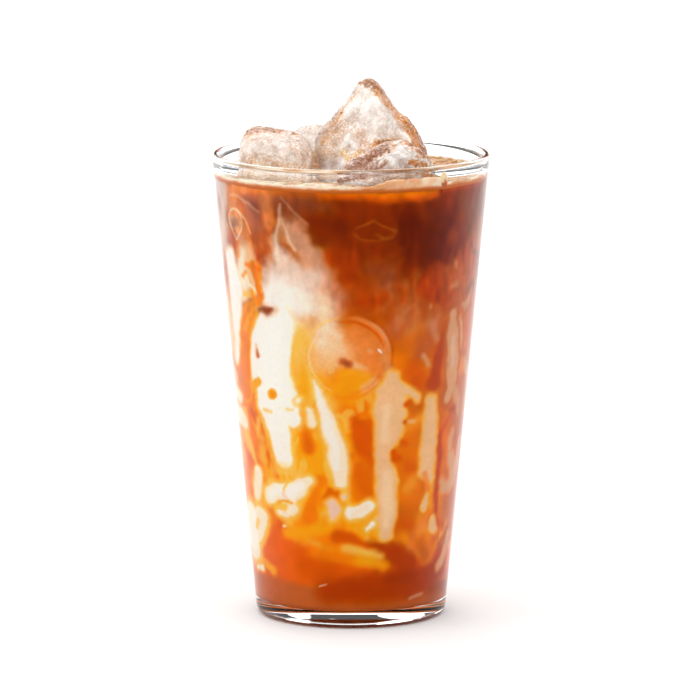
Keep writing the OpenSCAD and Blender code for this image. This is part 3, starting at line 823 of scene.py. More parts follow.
    def far_side(self) -> list[Stain]:
        """Return runs of milk, caramel and coffee round the side away from the front."""
        t = Tone
        rng = np.random.default_rng(self.seed)
        stains: list[Stain] = []
        for a in rng.uniform(86, 276, 9):
            z = rng.uniform(116, 137)
            stains += lay(rng.choice([t.ESPRESSO, t.COCOA]),
                          ((a - 6, z, 3), (a + 7, z + rng.uniform(-5, 5), 3)), edge=5, ragged=2.5, share=0.6)
        for a, foot_z, wide in ((118, 70, 3), (151, 58, 4.6), (204, 52, 8), (232, 72, 3.4), (258, 84, 4)):
            stains += lay(t.BLUSH, ((a + 8, 131, 0.8), (a + 3, 119, 2), (a - 2, 106, wide)), edge=4, ragged=3,
                          share=0.7)
            stains += lay(t.PEACH, ((a + 4, 117, 0.8), (a, 107, wide * 0.8), (a - 1, 98, wide)), edge=4.5,
                          ragged=3, share=0.8)
            stains += pour(t.IVORY,
                           ((a - 1, 98, wide * 0.5), (a + 1, 88, wide), (a - 2, 78, wide * 0.8),
                            (a + 1, 0.5 * foot_z + 37, wide * 0.5), (a, foot_z, wide * 0.4)), edge=1.3,
                           ragged=2, spread=2)
            stains += lay(t.CREAM, ((a, 104, wide * 0.5), (a, 94, wide * 0.8)), edge=4, ragged=3)
        for a in np.arange(88, 272, 8.5):
            top, drop = rng.uniform(54, 100), rng.uniform(12, 44)
            a, wide = a + rng.uniform(-4, 4), rng.uniform(0.7, 2.8)
            sway = np.cumsum(rng.uniform(-2.2, 2.2, 5))
            swell = wide * rng.uniform(0.5, 1.1, 5)
            path = tuple(zip(a + sway, top - drop * np.linspace(0, 1, 5), swell))
            dark = tuple((b + 4, z + 3, 0.8 * w) for b, z, w in path)
            tone = t.OAT if a < 125 else t.VANILLA if rng.random() < 0.5 else t.IVORY
            stains += lay(rng.choice([t.BURNT, t.RUST, t.TOFFEE]), dark, edge=1.8, ragged=1.8, share=0.85)
            stains += pour(tone, path, halo=t.HONEY if a > 125 else t.SALMON, spread=1.2, ragged=1.3)
        for a in rng.uniform(86, 274, 17):
            z, wide = rng.uniform(17, 52), rng.uniform(0.7, 2.6)
            turn = np.cumsum(rng.uniform(-2.4, 2.4, 3))
            path = tuple(zip(a + np.array([0, 2.4, 4.2]) * wide, z + turn, wide * rng.uniform(0.5, 1.2, 3)))
            stains += pour(t.IVORY if a > 125 else t.OAT, path, halo=t.HONEY if a > 125 else t.SALMON,
                           spread=1.4, ragged=1.5)
        stains += lay(t.BURNT, ((84, 140.8, 1), (180, 140.6, 1.2), (276, 140.8, 1)), edge=1.6, ragged=1)
        stains += lay(t.ORANGE, ((84, 141.6, 0.6), (180, 141.4, 0.8), (276, 141.6, 0.7)), edge=1)
        return stains

    @staticmethod
    def splash_tones(points: Array) -> Array:
        """Return the colours of the splash above the foam: cream, with a brown lower edge. The cream is
        partly the foam's own colour and partly a painted highlight.

        Args:
            points: Positions in mm, with the three coordinates last.

        Returns:
            Screen colours from 0 to 255.
        """
        brown_share = ramp(points[..., 2] + 2.5 * cloud_noise(points / 1.4, 77), 145.5, 142)
        # partly painted highlight: the pale vanilla of the splash
        return laid_over(np.array(Tone.VANILLA.value, float), Tone.SIENNA.value, brown_share)

    def stains(self) -> list[Stain]:
        """Return every stain, the lowest layer first."""
        return (self.far_side() + self.foot() + self.caramel() + self.coffee() + self.plume() + self.cream()
                + self.sunk_ice() + self.blots() + self.drips())

    def colours(self, points: Array, stains: list[Stain]) -> Array:
        """Return the colour at each point of the drink's wall.

        Args:
            points: Positions in mm, with the three coordinates last.
            stains: The stains to lay on, in order.

        Returns:
            Screen colours from 0 to 255. The bands come first, then a marbling where a twisted noise is
            high or low, and then each stain, its place shaken by a coarse and a fine noise. Last come
            upright streaks in the coffee and a mottle, stronger where the colour is dark.
        """
        angle, height = turn_angle(points), points[..., 2]
        radius = np.maximum(np.hypot(points[..., 0], points[..., 1]), 1.0)
        colour = np.full(points.shape, 255.0)
        waver = cloud_noise(points / self.wave_mm, self.seed)
        for band in self.bands:
            h = height + waver * band.edge * 1.2
            cover = ramp(h, band.low - band.edge / 2, band.low + band.edge / 2)
            cover = cover * ramp(h, band.high + band.edge / 2, band.high - band.edge / 2)
            colour = laid_over(colour, band.tone.value, cover)
        twist = np.stack([cloud_noise(points / self.twist_mm, self.seed + k, 2) for k in (11, 12, 13)], -1)
        marble = cloud_noise(points / np.array(self.vein_mm) + 0.5 * twist, self.seed + 21)
        zone = ramp(height, 18, 30) * ramp(height, 102, 84)
        for tone, low, high in self.veins:
            cover = ramp(marble, low, high) * zone * self.vein_share
            colour = laid_over(colour, tone.value, cover)
        coarse = [cloud_noise(points / self.sway_mm[0], self.seed + k, 2) for k in (31, 32)]
        fine = [cloud_noise(points / self.sway_mm[1], self.seed + k, 2) for k in (41, 42)]
        sway, lift = (c + self.fine_sway * f for c, f in zip(coarse, fine))
        for stain in stains:
            near = stain.near(angle, height)
            r = radius[near]
            cover = stain.cover(angle[near] + sway[near] * stain.ragged / (np.radians(1) * r),
                                height[near] + lift[near] * stain.ragged, r)
            colour[near] = laid_over(colour[near], stain.tone.value, cover)
        streaks = cloud_noise(points / np.array(self.streak_mm) + twist, self.seed + 51)
        mottle = cloud_noise(points / self.mottle_mm + 0.4 * twist, self.seed + 61)
        high = ramp(height, *self.coffee_from)
        shade = (1 + self.streak_share * streaks * high
                 + (self.mottle_share[0] + self.mottle_share[1] * high) * mottle)
        dark = 1 - colour.min(-1, keepdims=True) / 255
        return np.minimum(colour * self.gain * (1 + (shade[..., None] - 1) * (0.25 + 0.75 * dark)), 255)


# ---- the glass and what fills it

@dataclass(frozen=True)
class Vessel:
    """The walls of the glass and the levels in it, in mm. Levels and the rim come from the frame.

    The drink bites a little into the glass, and a crease is the share of a layer's height in which its
    edge turns.
    """

    height: float
    rim_r: float
    caramel_top: float
    foam_bottom: float
    foam_top: float
    foot_r: float = 30.3
    foot_wall: float = 3.0
    rim_wall: float = 2.2
    lip_bead: float = 0.15
    base: float = 5.5
    foot_round: float = 2.6
    floor_round: float = 1.8
    ring_w: float = 4.0
    punt_h: float = 0.9
    coffee_depth: float = 50.0
    border_tilt: float = 22.0
    bite: float = 0.2
    crease: float = 0.0003

    @classmethod
    def measured(cls) -> "Vessel":
        """Return the vessel with its height, its rim and its levels read from the frame."""
        top = {node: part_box(node)[1] for node in ("glass", "caramel", "coffee", "foam")}
        return cls(height=top["glass"].z / MM, rim_r=top["glass"].x / MM - cls.lip_bead,
                   caramel_top=top["caramel"].z / MM, foam_bottom=top["coffee"].z / MM,
                   foam_top=top["foam"].z / MM)

    def outer_r(self, z: Array | float) -> Array | float:
        """Return the radius of the outer wall at a height."""
        return self.foot_r + (self.rim_r - self.foot_r) * z / self.height

    def inner_r(self, z: Array | float) -> Array | float:
        """Return the radius of the inner wall at a height."""
        return self.outer_r(z) - self.foot_wall - (self.rim_wall - self.foot_wall) * z / self.height

    def border(self, a: Array) -> Array:
        """Return the height at which the milk meets the coffee at the wall.

        Args:
            a: Angles round the axis, in radians.

        Returns:
            The height z for which z = middle - x tan(tilt), where x = (inner radius at z) sin(a).
        """
        slope = math.tan(math.radians(self.border_tilt)) * np.sin(a)
        grow = (self.inner_r(self.height) - self.inner_r(0)) / self.height
        return (self.foam_top - self.coffee_depth - self.inner_r(0) * slope) / (1 + grow * slope)

    @staticmethod
    def corner(wall_r: float, lean: float, z: float, r: float) -> Pair:
        """Return the middle of the circle of radius r that touches a leaning wall and the level z."""
        return wall_r + r * math.tan(lean) - r / math.cos(lean), z + r

    def floor_arc(self, grow: float, steps: int) -> Array:
        """Return the rounded corner between floor and wall, from the wall down, all of it grown outward.

        Args:
            grow: How far the arc is moved into the glass, in mm.
            steps: Steps along the arc.

        Returns:
            Points as (radius, height).
        """
        lean = math.atan2(self.inner_r(self.height) - self.inner_r(0), self.height)
        middle = self.corner(self.inner_r(self.base), lean, self.base, self.floor_round)
        return arc(middle, self.floor_round + grow, -math.degrees(lean), -90, steps)


@dataclass(frozen=True)
class Tumbler:
    """The clear glass."""

    vessel: Vessel
    sides: int = 288
    wobble: float = 0.06

    def profile(self) -> Array:
        """Return the outline from under the middle, round the foot, up, over the lip and down to the floor.

        Returns:
            Points as (radius, height): a shallow arc under the base, the foot's rounded edge, straight
            walls, a lip that is an arc a little wider than the wall, and the floor's rounded corner.
        """
        v = self.vessel
        lean = math.atan2(v.rim_r - v.foot_r, v.height)
        edge = arc(v.corner(v.foot_r, lean, 0, v.foot_round), v.foot_round, -90, -math.degrees(lean), 14)
        inset = edge[0][0] - v.ring_w
        bend = (inset ** 2 + v.punt_h ** 2) / (2 * v.punt_h)
        punt = arc((0, v.punt_h - bend), bend, 90, 90 - math.degrees(math.asin(inset / bend)), 12)
        half = v.rim_wall / 2
        lip_r = half + v.lip_bead
        start = math.degrees(math.acos(half / lip_r))
        lip = arc((v.rim_r - half, v.height - lip_r), lip_r, -start, 180 + start, 24)
        corner = v.floor_arc(0, 10)
        return np.vstack([punt, line(tuple(punt[-1]), tuple(edge[0]), 3)[1:-1], edge,
                          line(tuple(edge[-1]), tuple(lip[0]), 40)[1:-1], lip,
                          line(tuple(lip[-1]), tuple(corner[0]), 40)[1:-1], corner,
                          line(tuple(corner[-1]), (0.0, v.base), 8)[1:]])

    def build(self, finish: "GlassFinish") -> Piece:
        """Build and dress the glass.

        Args:
            finish: The clear glass.

        Returns:
            The glass. Each point of the revolved outline moves in or out by wobble * noise * height share,
            so that the walls carry the faint waves of pressed glass and the foot stays true.
        """
        rows = revolve(self.profile(), self.sides)
        share = ramp(rows[..., 2], 4, 30)
        wave = self.wobble * cloud_noise(rows / np.array([26, 26, 40]), 5, 2) * share
        radius = np.maximum(np.hypot(rows[..., 0], rows[..., 1]), 1e-6)
        rows[..., :2] *= (1 + wave / radius)[..., None]
        return place(Surface.turned(rows * MM), "tumbler", finish.material(), "clear_glass", "glass")


@dataclass(frozen=True)
class Latte:
    """The drink: caramel, milk and coffee, each from wall to wall and biting a little into the glass."""

    vessel: Vessel
    sides: int = 512
    rows: tuple[int, int, int] = (36, 172, 120)

    def layer(self, low: Array, high: Array, rows: int) -> Array:
        """Return a layer between two borders that may tilt.

        Args:
            low: Height of the lower border at the wall, for each side, in mm.
            high: Height of the upper border.
            rows: Rings up the wall.

        Returns:
            Points as (ring, side, 3), in mm. The wall's height is low + t (high - low) and its radius the
            inner radius there plus the bite; each border is closed by rings that shrink to the axis.
        """
        v = self.vessel
        a = np.linspace(0, 2 * math.pi, self.sides, endpoint=False)
        t = np.concatenate([[0, v.crease], np.linspace(0, 1, rows)[1:-1], [1 - v.crease, 1]])[:, None]
        z = low + t * (high - low)
        r = v.inner_r(z) + v.bite
        shrink = np.array([0.0, 0.5, 0.9])[:, None]
        lower = (shrink * r[0], low.mean() + shrink * (z[0] - low.mean()))
        upper = (shrink[::-1] * r[-1], high.mean() + shrink[::-1] * (z[-1] - high.mean()))
        r, z = (np.concatenate([lower[k], (r, z)[k], upper[k]]) for k in (0, 1))
        return around(r, a, z)

    def bottom(self) -> Array:
        """Return the caramel: the floor of the glass, its rounded corner, the wall, and a flat top."""
        v = self.vessel
        corner = v.floor_arc(v.bite, 10)[::-1]
        wall_z = np.append(np.linspace(corner[-1][1], v.caramel_top, self.rows[0])[1:-1],
                           [v.caramel_top - 0.02, v.caramel_top])
        wall = np.stack([v.inner_r(wall_z) + v.bite, wall_z], -1)
        profile = np.vstack([line((0.0, v.base - v.bite), tuple(corner[0]), 8)[:-1], corner, wall,
                             line(tuple(wall[-1]), (0.0, v.caramel_top), 3)[1:]])
        return revolve(profile, self.sides)

    def build(self, finish: "DrinkFinish", marbling: Marbling) -> list[Piece]:
        """Build, paint and dress the three layers.

        Args:
            finish: The look of the drink.
            marbling: Its streaks and drips.

        Returns:
            One object for each layer.
        """
        v = self.vessel
        a = np.linspace(0, 2 * math.pi, self.sides, endpoint=False)
        border, flat = v.border(a), np.ones(self.sides)
        milk = self.layer(v.caramel_top * flat, border, self.rows[1])
        coffee = self.layer(border, v.foam_bottom * flat, self.rows[2])
        shapes = (("caramel_layer", "caramel", "caramel_sauce", self.bottom()),
                  ("milk_layer", "milk", "milk", milk), ("coffee_layer", "coffee", "coffee", coffee))
        stains, look, things = marbling.stains(), finish.material(), []
        for name, node, slot, rows in shapes:
            stain = painted(marbling.colours(rows, stains), HAZE)
            things.append(place(Surface.turned(rows * MM, {"stain": stain}), name, look, slot, node))
        return things


@dataclass(frozen=True)
class FoamCap:
    """The thin foam on the coffee, with its bubbles. Its colours are dimmed as painted shade against the
    strong light on its top, but for the side at the wall, which lies in shade behind the glass.

    A size of dome is the spacing of its centres in mm, its steepness and its height in mm.
    """

    vessel: Vessel
    sides: int = 448
    rings: int = 150
    bite: float = 0.3
    # painted shade: the share of its colour that the top of the foam keeps
    dim: float = 0.55
    seed: int = 60
    domes: tuple[Triple, Triple] = ((4.2, 1.5, 0.4), (1.7, 1.4, 0.2))
    level: float = 0.3
    rise: float = 0.5
    climb: float = 2.1
    rise_reach: float = 1.2

    def tones(self, points: Array) -> Array:
        """Return the colour of the foam: cream, with tan films where the coffee is near.

        Args:
            points: Places on the foam, in mm.

        Returns:
            Screen colours from 0 to 255. A film covers where a noise is high, more to the right and less
            by the wall. Against the wall the foam's lower edge is as orange as the drink under it, with a
            darker line between the two, and amber patches lie at the right of the front.
        """
        cream, tan, brown, edge, dark = (np.array(c.value, float) for c in
                                         (Tone.IVORY, Tone.TAN, Tone.FILM, Tone.TOFFEE, Tone.RUST))
        noise = (cloud_noise(points / np.array([9, 9, 30]), self.seed)
                 + 0.4 * cloud_noise(points / 3, self.seed + 8))
        gap = self.vessel.inner_r(self.vessel.foam_top) - np.hypot(points[..., 0], points[..., 1])
        lean = 0.3 * points[..., 0] / self.vessel.rim_r - 0.5 * ramp(gap, 2.5, 0.3)
        tone = cream + (tan - cream) * ramp(noise + lean, -0.6, -0.1)[..., None]
        tone = tone + (brown - tone) * ramp(noise + lean, -0.15, 0.4)[..., None] * 0.8
        fine = 0.5 * cloud_noise(points / 2.5, self.seed + 7)
        low = ramp(points[..., 2] + 0.6 * fine, self.vessel.foam_top - 0.1, self.vessel.foam_bottom + 0.3)
        low = (low * (gap < 0.1))[..., None]
        amber = ramp(turn_angle(points), -10, 20) * ramp(turn_angle(points), 52, 38) * (gap < 0.1)
        tone = tone + (np.array(Tone.PEACH.value) - tone) * (amber * ramp(fine, 0.2, -0.2))[..., None] * 0.7
        return tone + (edge - tone) * low + 1.6 * (dark - tone) * low * (1 - low) ** 2

    def relief(self, points: Array) -> Array:
        """Return how far the foam stands above its level at each place, in mm.

        Args:
            points: Places on the foam, in mm.

        Returns:
            The sum of round domes over scattered centres, large and small, each tall * (1 - d^2) high, and
            of a rise that dies out exponentially away from the wall and climbs higher at the right of
            the front.
        """
        large, small = (tall * np.clip(1 - (steep * cell_noise(points / spacing, self.seed + k)) ** 2, 0, 1)
                        for k, (spacing, steep, tall) in enumerate(self.domes, 1))
        wall = self.vessel.inner_r(self.vessel.foam_top)
        gap = np.maximum(wall - np.hypot(points[..., 0], points[..., 1]), 0)
        angle = turn_angle(points) + 5 * cloud_noise(points / 4, self.seed + 9)
        climb = self.rise + self.climb * ramp(angle, 6, 24) * ramp(angle, 45, 36)
        return large + small - self.level + climb * np.exp(-gap / self.rise_reach)

    def build(self, look: Look) -> Piece:
        """Build and dress the foam.

        Args:
            look: The foam's material.

        Returns:
            The foam, from a flat underside round an uneven lower edge to the relief on top.
        """
        v = self.vessel
        a = np.linspace(0, 2 * math.pi, self.sides, endpoint=False)
        wall = v.inner_r(v.foam_top) + self.bite
        round_rim = revolve(np.array([[wall, v.foam_bottom]]), self.sides)[0]
        low = v.foam_bottom - 0.3 + 0.3 * cloud_noise(round_rim / 7, self.seed + 4)
        high = v.foam_top + self.relief(round_rim)
        up = np.linspace(0, 1, 6)[:, None]
        side_z = low + up * (high - low)
        side_r = v.inner_r(side_z) + self.bite
        share = np.linspace(1, 0, self.rings)[1:, None]
        top_r = share * side_r[-1]
        flat = around(top_r, a, 0 * top_r + v.foam_top)
        top_z = v.foam_top + self.relief(flat)
        base_r = np.array([0.0, 0.6, 0.95])[:, None] * side_r[0]
        r = np.concatenate([base_r, side_r, top_r])
        z = np.concatenate([0 * base_r + v.foam_bottom - 0.7, side_z, top_z])
        rows = around(r, a, z)
        # painted light and shade: the top is dimmed against the strong light on it; the side at the wall, in
        # shade behind the glass, keeps its full colour
        dim = self.dim + (1 - self.dim) * (np.hypot(rows[..., 0], rows[..., 1]) > v.inner_r(v.foam_top) - 0.1)
        stain = painted(self.tones(rows)) * dim[..., None]
        return place(Surface.turned(rows * MM, {"stain": stain}), "foam_cap", look, "foam", "foam")

    def bubbles(self, look: Look, count: int = 620) -> Piece:
        """Build the larger bubbles that lie on the foam, most of them near the wall.

        Args:
            look: The foam's material.
            count: Number of bubbles.

        Returns:
            All the bubbles as one piece.
        """
        rng = np.random.default_rng(self.seed)
        v = self.vessel
        a = rng.uniform(0, 2 * math.pi, count)
        size = rng.uniform(0.35, 1.0, count) ** 2 + 0.25
        r = (v.inner_r(v.foam_top) - 0.4) * np.where(rng.random(count) < 0.55, rng.uniform(0.95, 1, count),
                                                    np.sqrt(rng.random(count))) - size * 0.6
        place_mm = around(r, a, np.full(count, v.foam_top))
        place_mm[:, 2] += self.relief(place_mm) * 0.8
        up = np.tile([[0.0, 0.0, 1.0]], (count, 1))
        beads = scattered_beads(place_mm * MM, up, size * MM, 0.75)
        pale = self.tones(beads.points / MM) * 0.5 + 0.5 * np.array(Tone.VANILLA.value)
        # painted shade: the bubbles on top are dimmed like the top of the foam
        beads.values["stain"] = painted(pale) * self.dim
        return place(beads, "foam_bubbles", look, "foam")


@dataclass(frozen=True)
class WallPatch:
    """A flat-fronted lump of ice, or a drop, pressed against the inside of the glass. Sizes are in mm.

    Square is the power that rounds its outline. Its middle stands proud in front, its back reaches deep
    into the drink, its outline lies back by its recess, and ripple is the height of rings on its front.
    """

    name: str
    angle: float
    height: float
    across: float
    tall: float
    tilt: float = 0.0
    square: float = 2.0
    proud: float = 0.18
    deep: float = 3.0
    recess: float = 0.12
    ripple: float = 0.0

    def rows(self, vessel: Vessel, rings: int = 60, sides: int = 120) -> Array:
        """Return the lump's points.

        Args:
            vessel: The glass that it lies against.
            rings: Rings from its back to its front.
            sides: Points in a ring.

        Returns:
            Points as (ring, side, 3), in mm. In its own plane a point lies at share * outline, where the
            outline is a rounded rectangle; that plane is bent round the glass, and the point stands
            proud of the inner wall in front and deep inside it behind.
        """
        b = np.linspace(-math.pi / 2, math.pi / 2, rings)[:, None]
        p = np.linspace(0, 2 * math.pi, sides, endpoint=False)
        c, s = np.cos(p), np.sin(p)
        outline = (np.abs(c) ** self.square + np.abs(s) ** self.square) ** (-1 / self.square)
        share = np.cos(b)
        u, v = share * outline * c * self.across, share * outline * s * self.tall
        turn = math.radians(self.tilt)
        u, v = u * math.cos(turn) - v * math.sin(turn), u * math.sin(turn) + v * math.cos(turn)
        z = self.height + v
        wall = vessel.inner_r(z)
        front = vessel.bite - self.recess + (self.proud + self.recess) * (1 - share ** 8)
        front = front + self.ripple * np.sin(share * 9) * (1 - share ** 8)
        r = wall + np.where(b > 0, front, vessel.bite - self.recess + self.deep * np.sin(b))
        a = np.radians(self.angle) + u / wall
        return around(r, a, z)

    def build(self, vessel: Vessel, look: Look, slot: str,
              tones: Callable[[Array], Array]) -> Piece:
        """Build and dress the lump.

        Args:
            vessel: The glass that it lies against.
            look: Its material.
            slot: Its material slot.
            tones: Gives the screen colour of each point.

        Returns:
            The lump.
        """
        rows = self.rows(vessel)
        return place(Surface.turned(rows * MM, {"stain": painted(tones(rows), HAZE)}), self.name, look, slot)


# ---- the ice

WET_TONES = (Tone.FILM, Tone.UMBER, Tone.BARK)


@dataclass(frozen=True)
class IceLump:
    """A half-melted cube of ice that stands out of the drink. Angles are in degrees, places in mm.

    Its cube has edges rounded by the power square, waves of the share lumps that begin at turn, and is
    turned by its angles about X, Y and Z. Its marks are stains whose paths run through (x, height, half
    width) and tint its front half. A swell is (x, y, z, reach, rise). Values that end in _mm are the
    sizes of a noise's clouds, and a dent is such a size with a depth.
    """

    node: str
    angles: Triple
    square: float
    lumps: float
    turn: float
    yaw: float = 0.0
    marks: tuple[Stain, ...] = ()
    swells: tuple[tuple[float, float, float, float, float], ...] = ()
    clear: Triple = (230.0, 196.0, 172.0)
    white: Triple = (255.0, 254.0, 252.0)
    cloud_mm: Triple = (7.0, 7.0, 9.0)
    fold_mm: float = 3.2
    grain_mm: float = 0.8
    film_mm: float = 6.0
    sway_mm: Pair = (4.0, 1.2)
    fine_sway: float = 0.6
    dents: tuple[Pair, Pair] = ((8.0, 0.5), (2.5, 0.25))
    groove: Pair = (7.0, 0.4)
    dim: float = 0.85
    sides: int = 240
    rings: int = 160

    def cube(self, sides: int, rings: int) -> Array:
        """Return the lump's points about its own middle.

        Args:
            sides: Points in a ring.
            rings: Rings, poles included.

        Returns:
            Points as (ring, side, 3). For a direction d the point is d * r * (1 + lumps * wave), where
            r = (|dx|^p + |dy|^p + |dz|^p)^(-1/p) and wave is a slow sum of sines round and up the lump;
            all of it is then turned about X, Y and Z.
        """
        lat = np.linspace(-math.pi / 2, math.pi / 2, rings)[:, None]
        lon = np.linspace(0, 2 * math.pi, sides, endpoint=False)
        turn = math.radians(self.turn)
        d = np.stack([np.cos(lon) * np.cos(lat), np.sin(lon) * np.cos(lat), np.sin(lat) + 0 * lon], -1)
        r = (np.abs(d) ** self.square).sum(-1) ** (-1 / self.square)
        wave = (np.sin(2 * lon + turn) * np.cos(lat)
                + 0.6 * np.sin(3 * lat - turn) * np.cos(lon - turn))
        return turned_xyz(d * (r * (1 + self.lumps * wave))[..., None], self.angles)

    def rows(self) -> Array:
        """Return the lump's points in place, in mm: the cube stretched to the box of its CAD node.

        Returns:
            Points as (ring, side, 3). A lump with a yaw is stretched in its own turned frame, to the
            box that its node's vertices have in that frame.
        """
        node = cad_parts[self.node]
        solid = np.empty(len(node.data.vertices) * 3)
        node.data.vertices.foreach_get("co", solid)
        solid = turned_xyz(solid.reshape(-1, 3) / MM, (0, 0, -self.yaw))
        low, high = solid.min(0), solid.max(0)
        cube = self.cube(self.sides, self.rings)
        c_low, c_high = cube.min((0, 1)), cube.max((0, 1))
        return turned_xyz(low + (high - low) * (cube - c_low) / (c_high - c_low), (0, 0, self.yaw))

    def tones(self, points: Array, seed: int) -> tuple[Array, Array]:
        """Return the colour of each point and how wet with coffee it is.

        Args:
            points: Places on the lump, in mm.
            seed: Picks its clouds.

        Returns:
            Screen colours from 0 to 255, and wetness from 0 to 1. Pinkish clear ice and white cracked ice
            follow a noise and its folds. The marks lie over the front half, and a thin film of coffee
            lies where a noise is high over the rest.
        """
        cloud = cloud_noise(points / np.array(self.cloud_mm), seed + 6)
        fold = np.abs(cloud_noise(points / self.fold_mm, seed + 7))
        share = np.clip(ramp(cloud, -0.1, 0.45) + 0.8 * ramp(fold, 0.07, 0.0), 0, 1)
        colour = laid_over(np.array(self.clear), self.white, share)
        depth = points[..., 1] - points[..., 1].mean()
        front = ramp(depth + 3 * cloud, 4.5, -1)
        grain = cloud_noise(points / self.grain_mm, seed + 13, 2)
        film = ramp(cloud_noise(points / self.film_mm, seed + 12) + 0.3 * grain, 0.3, 0.7) * (1 - front)
        colour = laid_over(colour, Tone.TAN.value, film)
        wetness = film
        wide, narrow = (points / size for size in self.sway_mm)
        sway, lift = (cloud_noise(wide, seed + k) + self.fine_sway * cloud_noise(narrow, seed + k + 1, 2)
                      for k in (8, 10))
        for mark in self.marks:
            cover = mark.cover(points[..., 0] + sway * mark.ragged, points[..., 2] + lift * mark.ragged,
                               np.full(points.shape[:-1], math.degrees(1))) * front
            cover = np.clip(cover + mark.grain * grain * np.sqrt(cover * front), 0, 1)
            colour = laid_over(colour, mark.tone.value, cover)
            wetness = np.maximum(wetness, cover) if mark.tone in WET_TONES else wetness * (1 - cover)
        return colour, wetness

    def build(self, look: Look, seed: int) -> tuple[Piece, Array, Array, Array]:
        """Build and dress the lump.

        Args:
            look: The ice.
            seed: Picks its dents.

        Returns:
            The object, and the places, outward directions and wetness of its points for the droplets.
            A swell moves what is near its middle out. Then each point moves outward by the two dents'
            noises and, where a third noise crosses zero, inward as a groove.
        """
        rows = self.rows()
        outward = rows - rows.mean((0, 1))
        outward /= np.linalg.norm(outward, axis=-1, keepdims=True)
        swollen = np.zeros(rows.shape[:-1])
        for x, y, z, reach, swell in self.swells:
            swollen += swell * ramp(np.linalg.norm(rows - np.array([x, y, z]), axis=-1), reach, 0.0)
        rows = rows + outward * swollen[..., None]
        (wide, deep), (narrow, fine) = self.dents
        groove = ramp(np.abs(cloud_noise(rows / self.groove[0], seed + 3, 2)), 0.09, 0.0)
        dent = (deep * cloud_noise(rows / wide, seed) + fine * cloud_noise(rows / narrow, seed + 1)
                - self.groove[1] * groove)
        colour, wetness = self.tones(rows, seed)
        rows = rows + outward * dent[..., None]
        values = {"stain": painted(colour) * self.dim, "wet": wetness}
        thing = place(Surface.turned(rows * MM, values), self.node + "_lump", look, "ice", self.node)
        return thing, rows.reshape(-1, 3), outward.reshape(-1, 3), wetness.ravel()


def turned_xyz(points: Array, angles: Triple) -> Array:
    """Turn points about X, then Y, then Z.

    Args:
        points: Positions, with the three coordinates last.
        angles: The three angles, in degrees.

    Returns:
        The turned points.
    """
    ax, ay, az = np.radians(angles)
    about_x = np.array([[1, 0, 0], [0, math.cos(ax), -math.sin(ax)], [0, math.sin(ax), math.cos(ax)]])
    about_y = np.array([[math.cos(ay), 0, math.sin(ay)], [0, 1, 0], [-math.sin(ay), 0, math.cos(ay)]])
    about_z = np.array([[math.cos(az), -math.sin(az), 0], [math.sin(az), math.cos(az), 0], [0, 0, 1]])
    return points @ (about_z @ about_y @ about_x).T


def painted(tones: Array, haze: float = 0.0) -> Array:
    """Return screen colours as linear light, less the haze that the glass adds, with a fourth value of 1."""
    light = np.maximum(linear_light(tones) - haze, 0)
    return np.concatenate([light, np.ones(tones.shape[:-1] + (1,))], -1)


def place(surface: Surface, name: str, look: Look, slot: str, *nodes: str) -> Piece:
    """Make a piece of a surface, dress it, fix it to the body, and let it stand for CAD nodes.

    Args:
        surface: Its surface, in metres.
        name: Its name.
        look: Its material.
        slot: Not used.
        nodes: CAD nodes that it replaces.

    Returns:
        The piece.
    """
    thing = surface.piece(name)
    thing.data.materials.append(look)
    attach(thing, BODY)
    if nodes:
        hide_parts(*nodes)
    LOG.info("%s: %d faces", thing.name, len(thing.data.polygons))
    return thing


# ---- finishes

@dataclass
class NodeBoard:
    """A tree of nodes, to which nodes are added by name and value."""

    tree: bpy.types.NodeTree

    def add(self, kind: str, **values: object) -> bpy.types.Node:
        """Add a node.

        Args:
            kind: The node's type.
            values: What to set: inputs by name, with _ for a space, or else properties in lower case.

        Returns:
            The node.
        """
        node = self.tree.nodes.new(kind)
        for key, value in values.items():
            if key[0].isupper():
                node.inputs[key.replace("_", " ")].default_value = value
            else:
                setattr(node, key, value)
        return node

    def link(self, source: Socket, target: Socket) -> None:
        """Join one socket to another."""
        self.tree.links.new(source, target)

    def span(self, value: Socket, source: Pair, target: Pair,
             way: str = "LINEAR") -> Socket:
        """Carry a value from one range to another, and hold it inside that.

        Args:
            value: The value.
            source: Its range.
            target: The new range.
            way: How it runs between the ends, LINEAR or SMOOTHSTEP.

        Returns:
            The socket with the new value.
        """
        node = self.add("ShaderNodeMapRange", interpolation_type=way, From_Min=source[0],
                        From_Max=source[1], To_Min=target[0], To_Max=target[1])
        self.link(value, node.inputs["Value"])
        return node.outputs["Result"]

    def times(self, first: Socket, second: Socket) -> Socket:
        """Multiply two values.

        Args:
            first: The first value.
            second: The second value.

        Returns:
            The socket with the product.
        """
        node = self.add("ShaderNodeMath", operation="MULTIPLY")
        self.link(first, node.inputs[0])
        self.link(second, node.inputs[1])
        return node.outputs[0]

    def along(self, vector: Socket, direction: Triple) -> Socket:
        """Measure a vector along a direction.

        Args:
            vector: The vector.
            direction: The direction.

        Returns:
            The socket with their dot product.
        """
        node = self.add("ShaderNodeVectorMath", operation="DOT_PRODUCT")
        self.link(vector, node.inputs[0])
        node.inputs[1].default_value = direction
        return node.outputs["Value"]


